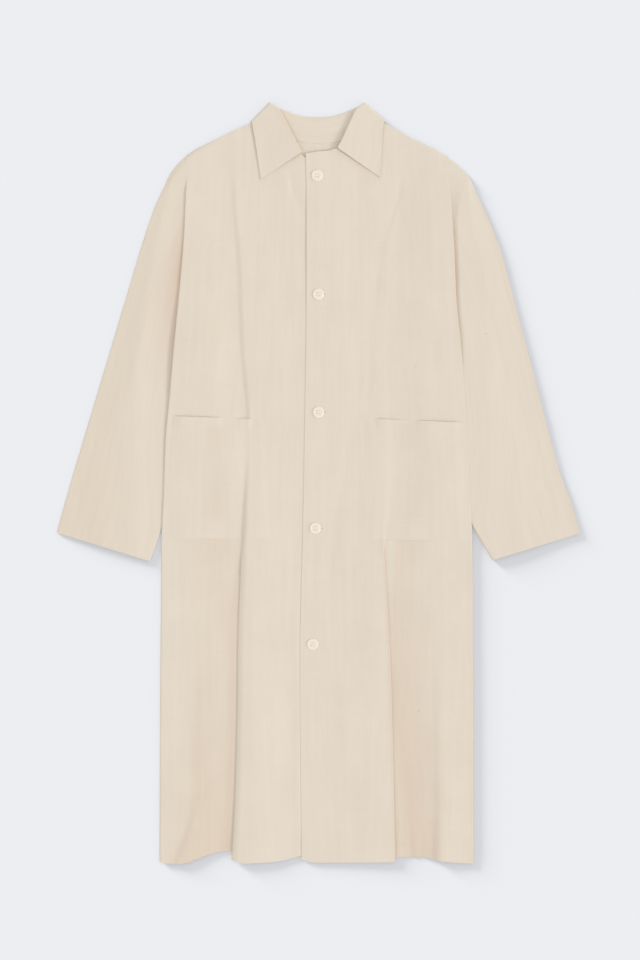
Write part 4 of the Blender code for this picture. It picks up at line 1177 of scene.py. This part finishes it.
def linen_material():
    """Natural linen: a plain weave, thick threads, faint streaks, stray fibres and painted shade.
    """
    found = bpy.data.materials.get("natural_linen")
    if found:
        return found
    cloth = bpy.context.scene.coat_cloth
    material, tree, shader = new_material("natural_linen", cloth.light, cloth.roughness)
    shader.inputs["Sheen Weight"].default_value = cloth.sheen
    measures = add_node(tree, "ShaderNodeUVMap", uv_map=UV_NAME)[0]
    split = add_node(tree, "ShaderNodeSeparateXYZ", {0: measures})
    turns = math.pi / cloth.weave_pitch
    warp, weft = (maths(tree, "SINE", maths(tree, "MULTIPLY", split[i], turns)) for i in range(2))
    weave = maths(tree, "MULTIPLY", warp, weft)
    height = maths(tree, "MULTIPLY", weave, WEAVE_RELIEF)
    sizes = ((cloth.slub_width, cloth.slub_length), (cloth.slub_length, cloth.slub_width),
             (cloth.streak_width, cloth.streak_length), (cloth.mottle_size, cloth.mottle_size))
    noises = [stretched_noise(tree, measures, *size, detail)
              for size, (detail, _) in zip(sizes, TONES)]
    for slub in noises[:2]:
        height = maths(tree, "ADD", height, slub)
    tone = 0.0
    for noise, (_, weight) in zip(noises, TONES):
        tone = maths(tree, "ADD", tone, maths(tree, "MULTIPLY", noise, weight))
    tone = maths(tree, "SUBTRACT", tone, TONE_MIDDLE)
    # Painted shade: the weave's hollows, where its relief is low, are darker
    tone = maths(tree, "ADD", tone, maths(tree, "MULTIPLY", weave, WEAVE_PAINTED_SHADE))
    colour = blend(tree, tone, cloth.dark, cloth.light)
    # Painted shade: the shade attribute darkens and warms the cloth by the painted shade tint
    deep = add_node(tree, "ShaderNodeAttribute", attribute_name=PAINTED_SHADE_ATTRIBUTE)["Fac"]
    colour = blend(tree, deep, colour, cloth.painted_shade_tint, "MULTIPLY")
    place = add_node(tree, "ShaderNodeTexCoord")["Object"]
    for (x, y), (half_width, half_height) in FLECKS:
        moved = vector_maths(tree, "ADD", place, (-x * MM, -y * MM, 0.0))
        scale = (1 / (half_width * MM), 1 / (half_height * MM), 0.0)
        far = vector_maths(tree, "LENGTH", vector_maths(tree, "MULTIPLY", moved, scale))
        fade = {0: far, 1: FLECK_CORE, 2: 1.0, 3: FLECK_WEIGHT, 4: 0.0}
        colour = blend(tree, add_node(tree, "ShaderNodeMapRange", fade)[0], colour, cloth.fleck)
    tree.links.new(colour, shader.inputs["Base Color"])
    relief = {"Strength": cloth.relief, "Height": height, "Distance": cloth.relief_depth}
    tree.links.new(add_node(tree, "ShaderNodeBump", relief)[0], shader.inputs["Normal"])
    return material


def thread_material():
    """Matt sewing thread in the linen's colour."""
    colour = bpy.context.scene.coat_sewing.thread_colour
    found = bpy.data.materials.get("sewing_thread")
    return found or new_material("sewing_thread", colour, THREAD_ROUGHNESS)[0]


def button_material():
    """Pale button with faint cloudy bands and a soft shine."""
    colour = bpy.context.scene.coat_buttons.colour
    material, tree, shader = new_material("pale_button", colour, BUTTON_ROUGHNESS)
    shader.inputs["Coat Weight"].default_value = BUTTON_POLISH
    shader.inputs["Coat Roughness"].default_value = BUTTON_POLISH_ROUGHNESS
    place = add_node(tree, "ShaderNodeTexCoord")["Object"]
    cloud = stretched_noise(tree, place, *BUTTON_CLOUD, BUTTON_CLOUD_DETAIL)
    shade = [BUTTON_CLOUD_SHADE * value for value in colour]
    tree.links.new(blend(tree, cloud, colour, shade), shader.inputs["Base Color"])
    return material


def stitch_tree(name, upright):
    """Geometry nodes that set stitches along lines, or square to the lines if upright."""
    tree = bpy.data.node_groups.new(name, "GeometryNodeTree")
    for title, kind in (("Geometry", "Geometry"), ("Pitch", "Float"), ("Length", "Float"),
                        ("Width", "Float"), ("Seed", "Int")):
        tree.interface.new_socket(title, in_out="INPUT", socket_type=f"NodeSocket{kind}")
    tree.interface.new_socket("Geometry", in_out="OUTPUT", socket_type="NodeSocketGeometry")
    start = add_node(tree, "NodeGroupInput")
    length, width = (maths(tree, "MULTIPLY", start[title], 0.5) for title in ("Length", "Width"))
    size = add_node(tree, "ShaderNodeCombineXYZ", {0: length, 1: width, 2: width})[0]
    faces = {"Segments": STITCH_SEGMENTS, "Rings": STITCH_RINGS, "Radius": 1.0}
    ball = add_node(tree, "GeometryNodeMeshUVSphere", faces)["Mesh"]
    stitch = add_node(tree, "GeometryNodeTransform", {"Geometry": ball, "Scale": size})[0]
    smooth = add_node(tree, "GeometryNodeSetShadeSmooth", {0: stitch})[0]
    line = add_node(tree, "GeometryNodeMeshToCurve", {0: start["Geometry"]})[0]
    steps = {"Curve": line, "Length": start["Pitch"]}
    spaced = add_node(tree, "GeometryNodeResampleCurve", steps, mode="LENGTH")[0]
    tangent = add_node(tree, "GeometryNodeInputTangent")[0]
    turned = add_node(tree, "FunctionNodeAlignRotationToVector", {"Vector": tangent},
                      axis="Y" if upright else "X")[0]
    limits = {0: STITCH_LEAST, 1: STITCH_MOST, "Seed": start["Seed"]}
    uneven = add_node(tree, "FunctionNodeRandomValue", limits, data_type="FLOAT_VECTOR")[0]
    places = {"Points": spaced, "Instance": smooth, "Rotation": turned, "Scale": uneven}
    placed = add_node(tree, "GeometryNodeInstanceOnPoints", places)[0]
    real = add_node(tree, "GeometryNodeRealizeInstances", {0: placed})[0]
    finish = {"Geometry": real, "Material": thread_material()}
    add_node(tree, "NodeGroupOutput", {0: add_node(tree, "GeometryNodeSetMaterial", finish)[0]})
    return tree


def sew(name, lines, pitch, length, upright=False, closed=False):
    """Stitches along lines of points in millimetres."""
    sewing = bpy.context.scene.coat_sewing
    tree_name = "upright_stitches" if upright else "running_stitches"
    tree = bpy.data.node_groups.get(tree_name) or stitch_tree(tree_name, upright)
    places = []
    edges = []
    for line in lines:
        first = len(places)
        places.extend((np.asarray(line) * MM).tolist())
        edges.extend((number, number + 1) for number in range(first, len(places) - 1))
        if closed:
            edges.append((len(places) - 1, first))
    mesh = bpy.data.meshes.new(name)
    mesh.from_pydata(places, edges, [])
    piece = add_object(name, mesh, thread_material())
    modifier = piece.modifiers.new("Stitches", "NODES")
    modifier.node_group = tree
    values = {"Pitch": pitch, "Length": length, "Width": sewing.thread_width, "Seed": sewing.seed}
    for item in tree.interface.items_tree:
        if item.in_out == "INPUT" and item.name in values:
            modifier[item.identifier] = values[item.name]
    plain_mesh(piece)
    return declare(piece, "linen")


def on_top(points, thickness=None):
    """Points of a cloth's middle raised to the thread on its upper side."""
    scene = bpy.context.scene
    rise = (thickness or scene.coat_cloth.thickness) / 2
    return points + np.array([0, 0, in_mm(rise - scene.coat_sewing.thread_width * STITCH_SUNK)])


def evened(line):
    """A line of points with its small steps evened out."""
    window = np.ones(EVENED_POINTS) / EVENED_POINTS
    padded = np.pad(line, ((EVENED_POINTS // 2, EVENED_POINTS // 2), (0, 0)), mode="edge")
    return np.stack([np.convolve(column, window, mode="valid") for column in padded.T], axis=-1)


class COAT_OT_back(bpy.types.Operator):
    """Make the back panel, which rests on the floor"""

    bl_idname = "coat.back"
    bl_label = "Back"
    bl_options = {"REGISTER", "UNDO"}

    def execute(self, context):
        piece, cut = cloth_piece("back", back_grid())
        declare_cloth("back", piece)
        return {"FINISHED"}


class COAT_OT_sleeves(bpy.types.Operator):
    """Make both sleeves with their cuff seams"""

    bl_idname = "coat.sleeves"
    bl_label = "Sleeves"
    bl_options = {"REGISTER", "UNDO"}

    def execute(self, context):
        inset = in_mm(context.scene.coat_sewing.hem_inset)
        rings = np.linspace(LAST_RING - CUFF_RINGS, LAST_RING, CUFF_ROWS)
        for name, sleeve in SLEEVES.items():
            piece, cut = cloth_piece(name, sleeve_grid(sleeve), around=True, shades=sleeve.shades)
            upper = sleeve_front(sleeve, rings, np.linspace(*CUFF_SHARES, SEAM_POINTS))
            to_cuff = np.linalg.norm(upper - upper[-1], axis=2)
            nearest = np.abs(to_cuff - inset).argmin(axis=0)
            line = evened(upper[nearest, np.arange(SEAM_POINTS)])
            declare_cloth(name, piece, [on_top(line)])
        return {"FINISHED"}


class COAT_OT_fronts(bpy.types.Operator):
    """Make both fronts with the seams along their edges and hems"""

    bl_idname = "coat.fronts"
    bl_label = "Fronts"
    bl_options = {"REGISTER", "UNDO"}

    def execute(self, context):
        inset = in_mm(context.scene.coat_sewing.edge_inset)
        hem = in_mm(context.scene.coat_sewing.hem_inset)
        grain = tuple(np.searchsorted(front_stations(), GRAIN_STATIONS))
        for name, front in FRONTS.items():
            piece, cut = cloth_piece(name, front_grid(front), shades=front.shades, grain=grain)
            low = float(front.hem.at(0).y) + hem
            y = np.linspace(low, float(front_top(front, np.array(0.0))) - inset, SEAM_POINTS)
            width = front.edge.at(y).edge + inset
            station = np.array([station_at(front, *place) for place in zip(width, y)])
            lines = [on_top(front_points(front, y, station))]
            for ends in HEM_SEAMS:
                station = np.linspace(*ends, SEAM_POINTS)
                lines.append(on_top(front_points(front, front.hem.at(station).y + hem, station)))
            declare_cloth(name, piece, lines)
        return {"FINISHED"}


class COAT_OT_collar(bpy.types.Operator):
    """Make the collar with the seam along its edge"""

    bl_idname = "coat.collar"
    bl_label = "Collar"
    bl_options = {"REGISTER", "UNDO"}

    def execute(self, context):
        thickness = context.scene.coat_cloth.collar_thickness
        inset = in_mm(context.scene.coat_sewing.collar_inset)
        points = collar_grid()
        piece, cut = cloth_piece("collar", points, thickness, shades=COLLAR_PAINTED_SHADES)
        fall = points[:, COLLAR_STAND_COLUMNS + COLLAR_ROLL_COLUMNS - 2:]
        lines = []
        for rows in (fall[:COLLAR_ROWS], fall[:-COLLAR_ROWS - 1:-1]):
            run = np.linalg.norm(rows[:, -1] - rows[:, 0], axis=1)
            share = (1 - inset / run) * (rows.shape[1] - 1)
            low = np.floor(share).astype(int)
            number = np.arange(len(rows))
            step = rows[number, low + 1] - rows[number, low]
            along = rows[number, low] + step * (share - low)[:, None]
            start = np.linalg.norm(along - along[0], axis=1) > inset
            lines.append(on_top(along[start], thickness))
        declare_cloth("collar", piece, lines)
        return {"FINISHED"}


class COAT_OT_pockets(bpy.types.Operator):
    """Make both patch pockets with their seams"""

    bl_idname = "coat.pockets"
    bl_label = "Pockets"
    bl_options = {"REGISTER", "UNDO"}

    def execute(self, context):
        inset = in_mm(context.scene.coat_sewing.pocket_inset)
        hem = in_mm(context.scene.coat_sewing.hem_inset)
        across = np.linspace(0, 1, POCKET_COLUMNS)[None, :]
        down = np.linspace(0, 1, POCKET_ROWS)[:, None]
        for name, pocket in POCKETS.items():
            points = pocket_points(pocket, across, down)
            piece, cut = cloth_piece(name, points, shades=pocket.shades)
            width, length = (in_mm(size) for size in cut.flat)
            side = inset / width
            low = 1 - inset / length
            top = hem / length
            inner, bottom, outer, hemmed = (np.linspace(start, end, SEAM_POINTS) for start, end in (
                ((side, 0), (side, low)), ((side, low), (1 - side, low)),
                ((1 - side, 0), (1 - side, low)), ((side, top), (1 - side, top))))
            lines = [on_top(pocket_points(pocket, line[:, :1], line[:, 1:])[:, 0])
                     for line in (np.concatenate([inner, bottom, outer[::-1]]), hemmed)]
            declare_cloth(name, piece, lines)
        return {"FINISHED"}


def turned_button(buttons):
    """Mesh of one button: a turned profile with four holes."""
    mesh = bpy.data.meshes.new("button_profile")
    places = [(radius * buttons.radius, 0, height * buttons.thickness)
              for radius, height in BUTTON_PROFILE]
    mesh.from_pydata(places, [(i, i + 1) for i in range(len(places) - 1)], [])
    turned = add_object("button_turned", mesh, button_material())
    screw = turned.modifiers.new("Turned", "SCREW")
    screw.steps = BUTTON_STEPS
    screw.render_steps = BUTTON_STEPS
    screw.use_merge_vertices = True
    screw.merge_threshold = MM * MM
    screw.use_normal_calculate = True
    cutters = []
    for corner_x, corner_y in ((1, 1), (-1, 1), (-1, -1), (1, -1)):
        bpy.ops.mesh.primitive_cylinder_add(
            vertices=BUTTON_HOLE_SIDES, radius=buttons.hole_radius,
            depth=BUTTON_HOLE_DEPTH * buttons.thickness,
            location=(corner_x * buttons.hole_offset, corner_y * buttons.hole_offset, 0))
        cutter = bpy.context.object
        cutters.append(cutter)
        hole = turned.modifiers.new("Hole", "BOOLEAN")
        hole.operation = "DIFFERENCE"
        hole.solver = "EXACT"
        hole.object = cutter
    plain_mesh(turned)
    result = turned.data
    for helper in [turned] + cutters:
        bpy.data.objects.remove(helper)
    result.shade_smooth()
    result.set_sharp_from_angle(angle=math.radians(BUTTON_SHARP_ANGLE))
    return result


def strand_mesh(buttons):
    """Mesh of the strands that hold a button: up one hole, over and down the next."""
    radius = buttons.thread_width / 2
    over = buttons.thickness * BUTTON_PROFILE[0][1]
    turn = np.linspace(0, math.pi, STRAND_STEPS)
    path_x = np.concatenate([[-1], -np.cos(turn), [1]]) * buttons.hole_offset
    rise = buttons.thread_rise * np.sin(turn) ** STRAND_ROUNDING
    path_z = np.concatenate([[0], over + rise, [0]])
    slope = np.arctan2(np.gradient(path_z), np.gradient(path_x))
    sides = np.arange(STRAND_SIDES) * 2 * math.pi / STRAND_SIDES
    places = []
    faces = []
    for row in (-1, 1):
        for strand in range(STRANDS):
            aside = (strand - (STRANDS - 1) / 2) * buttons.thread_width
            first = len(places)
            for x, z, angle in zip(path_x, path_z, slope):
                for side in sides:
                    lift = radius * math.cos(side)
                    places.append((x - lift * math.sin(angle),
                                   row * buttons.hole_offset + aside + radius * math.sin(side),
                                   z + lift * math.cos(angle)))
            last = len(path_x) - 1
            for step in range(last):
                for side in range(STRAND_SIDES):
                    following = (side + 1) % STRAND_SIDES
                    near = first + step * STRAND_SIDES
                    far = near + STRAND_SIDES
                    faces.append((near + side, far + side, far + following, near + following))
            faces.append([first + side for side in range(STRAND_SIDES)])
            faces.append([first + last * STRAND_SIDES + side for side in range(STRAND_SIDES)][::-1])
    mesh = bpy.data.meshes.new("button_strands")
    mesh.from_pydata(places, [], faces)
    mesh.shade_smooth()
    return mesh


def button_seat(x, y):
    """Where a button lies: its place and tilt on the left front."""
    scene = bpy.context.scene
    radius = in_mm(scene.coat_buttons.radius)
    middle, above, below, outer, inner = (
        front_height(LEFT_FRONT, x + across * radius, y + along * radius)
        for across, along in ((0, 0), (0, 1), (0, -1), (1, 0), (-1, 0)))
    middle = max(middle, (above + below) / 2, (outer + inner) / 2)
    height = middle + in_mm(scene.coat_cloth.thickness) / 2 + BUTTON_SEAT_GAP
    tilt = Euler((math.atan2(above - below, 2 * radius), -math.atan2(outer - inner, 2 * radius), 0))
    return Matrix.Translation(Vector((x, y, height)) * MM) @ tilt.to_matrix().to_4x4()


class COAT_OT_buttons(bpy.types.Operator):
    """Make the buttons and the strands that hold them"""

    bl_idname = "coat.buttons"
    bl_label = "Buttons"
    bl_options = {"REGISTER", "UNDO"}

    def execute(self, context):
        buttons = context.scene.coat_buttons
        button = turned_button(buttons)
        strands = strand_mesh(buttons)
        pale = new_material("button_thread", buttons.thread_colour, THREAD_ROUGHNESS)[0]
        for number, (x, y, _) in enumerate(BUTTON_PLACES, start=1):
            seat = button_seat(x, y)
            for name, mesh, material, slot, nodes in (
                    ("turned_button", button, button.materials[0], "button", [f"button_{number}"]),
                    ("button_strands", strands, pale, "linen", [])):
                placed = mesh.copy()
                placed.transform(seat)
                declare(add_object(f"{name}_{number}", placed, material), slot, *nodes)
        for mesh in (button, strands):
            bpy.data.meshes.remove(mesh)
        return {"FINISHED"}


class COAT_OT_buttonholes(bpy.types.Operator):
    """Make the buttonholes: a slit of painted shade, a thin dark sheet, with a ring of close
    stitches
    """

    bl_idname = "coat.buttonholes"
    bl_label = "Buttonholes"
    bl_options = {"REGISTER", "UNDO"}

    def execute(self, context):
        buttons = context.scene.coat_buttons
        # Each slit is a thin dark sheet in this colour: painted shade inside the buttonhole's
        # opening
        dark = new_material("buttonhole_shade", buttons.slit_shade_colour, SLIT_ROUGHNESS)[0]
        half = in_mm(buttons.slit_length) / 2
        width = in_mm(buttons.slit_width) / 2
        reach = in_mm(buttons.satin_length) / 2
        turn = np.linspace(0, 2 * math.pi, OVAL_POINTS, endpoint=False)
        oval = np.sign(np.sin(turn)) * np.abs(np.sin(turn)) ** OVAL_BLUNT
        share = np.linspace(-1, 1, SLIT_POINTS)
        bow = width * np.sqrt(np.maximum(1 - share ** 2, SLIT_BLUNT))
        rings = []
        for number, (x, y, moved) in enumerate(BUTTON_PLACES, start=1):
            middle = x + in_mm(buttons.slit_offset) * moved
            rings.append(self.dropped(middle + (half + reach / 2) * np.cos(turn),
                                      y + (width + reach) * oval))
            edges = [self.dropped(middle + half * share, y + side * bow) for side in (-1, 1)]
            mesh, _ = cloth_mesh(f"buttonhole_{number}", np.stack(edges))
            slit = add_object(f"buttonhole_{number}", mesh, dark)
            declare(thicken(slit, SLIT_THICKNESS * MM), "linen")
        sew("buttonhole_stitches", rings, buttons.satin_pitch, buttons.satin_length,
            upright=True, closed=True)
        return {"FINISHED"}

    def dropped(self, across, along):
        """Points of the plan set on the left front."""
        heights = [front_height(LEFT_FRONT, x, y) for x, y in zip(across, along)]
        return on_top(np.column_stack([across, along, heights]))


class COAT_OT_stage(bpy.types.Operator):
    """Make the floor, the light and the camera"""

    bl_idname = "coat.stage"
    bl_label = "Stage"
    bl_options = {"REGISTER", "UNDO"}

    def execute(self, context):
        scene = context.scene
        stage = scene.coat_stage
        half = stage.floor_size / 2
        mesh = bpy.data.meshes.new("floor")
        mesh.from_pydata([(-half, -half, 0), (half, -half, 0), (half, half, 0), (-half, half, 0)],
                         [], [(0, 1, 2, 3)])
        paint, _, shader = new_material("pale_floor", stage.floor_colour, FLOOR_ROUGHNESS)
        shader.inputs["Specular IOR Level"].default_value = 0.0
        floor = add_object("floor", mesh, paint, STAGE_GROUP)

        world = bpy.data.worlds.new("even_light")
        world.use_nodes = True
        background = world.node_tree.nodes["Background"].inputs
        background["Color"].default_value = (1.0, 1.0, 1.0, 1.0)
        background["Strength"].default_value = stage.dome
        scene.world = world
        scene.view_settings.view_transform = "Standard"

        self.side_light(STAGE_GROUP, stage.floor_light, stage.floor_turn, stage.floor_height)
        self.side_light(COAT_GROUP, stage.coat_light, stage.coat_turn, stage.coat_height)
        self.side_light(STAGE_GROUP, stage.floor_fill, 0, math.pi / 2, shadow=False)

        lens = bpy.data.cameras.new("photo_camera")
        lens.lens = stage.lens
        camera = bpy.data.objects.new("photo_camera", lens)
        camera.location = stage.camera_place
        scene.collection.objects.link(camera)
        scene.camera = camera
        return {"FINISHED"}

    def side_light(self, group, strength, turn, height, shadow=True):
        """A soft light from one side that falls on one group of objects."""
        scene = bpy.context.scene
        lamp = bpy.data.lights.new(f"{group}_light", "SUN")
        lamp.energy = strength * math.pi / math.sin(height)
        lamp.angle = scene.coat_stage.spread
        lamp.use_shadow = shadow
        light = bpy.data.objects.new(lamp.name, lamp)
        level = math.cos(height)
        toward = Vector((level * math.cos(turn), level * math.sin(turn), math.sin(height)))
        light.rotation_euler = toward.to_track_quat("Z", "Y").to_euler()
        light.light_linking.receiver_collection = collection(group)
        scene.collection.objects.link(light)


class COAT_PT_panel(bpy.types.Panel):
    """Sidebar panel with the coat's settings and pieces"""

    bl_idname = "COAT_PT_panel"
    bl_label = "Linen Duster Coat"
    bl_space_type = "VIEW_3D"
    bl_region_type = "UI"
    bl_category = "Coat"

    def draw(self, context):
        for group in SETTINGS:
            box = self.layout.box()
            box.label(text=SETTINGS[group].__doc__)
            settings = getattr(context.scene, group)
            for name in SETTINGS[group].__annotations__:
                box.prop(settings, name)
        for operator in OPERATORS:
            self.layout.operator(operator.bl_idname)


SETTINGS = {"coat_cloth": COAT_PG_cloth, "coat_buttons": COAT_PG_buttons,
            "coat_sewing": COAT_PG_sewing, "coat_stage": COAT_PG_stage}
OPERATORS = (COAT_OT_back, COAT_OT_sleeves, COAT_OT_fronts, COAT_OT_collar, COAT_OT_pockets,
             COAT_OT_buttons, COAT_OT_buttonholes, COAT_OT_stage)


def register():
    """Make the settings, operators and panel known to Blender."""
    for kind in (*SETTINGS.values(), *OPERATORS, COAT_PT_panel):
        bpy.utils.register_class(kind)
    for name, kind in SETTINGS.items():
        setattr(bpy.types.Scene, name, PointerProperty(type=kind))


def unregister():
    """Take the settings, operators and panel away again."""
    for name in SETTINGS:
        delattr(bpy.types.Scene, name)
    for kind in reversed((*SETTINGS.values(), *OPERATORS, COAT_PT_panel)):
        bpy.utils.unregister_class(kind)


def main():
    """Build the coat and its stage."""
    register()
    bpy.ops.coat.back()
    bpy.ops.coat.sleeves()
    bpy.ops.coat.fronts()
    bpy.ops.coat.collar()
    bpy.ops.coat.pockets()
    bpy.ops.coat.buttons()
    bpy.ops.coat.buttonholes()
    bpy.ops.coat.stage()


if __name__ == "__main__":
    main()
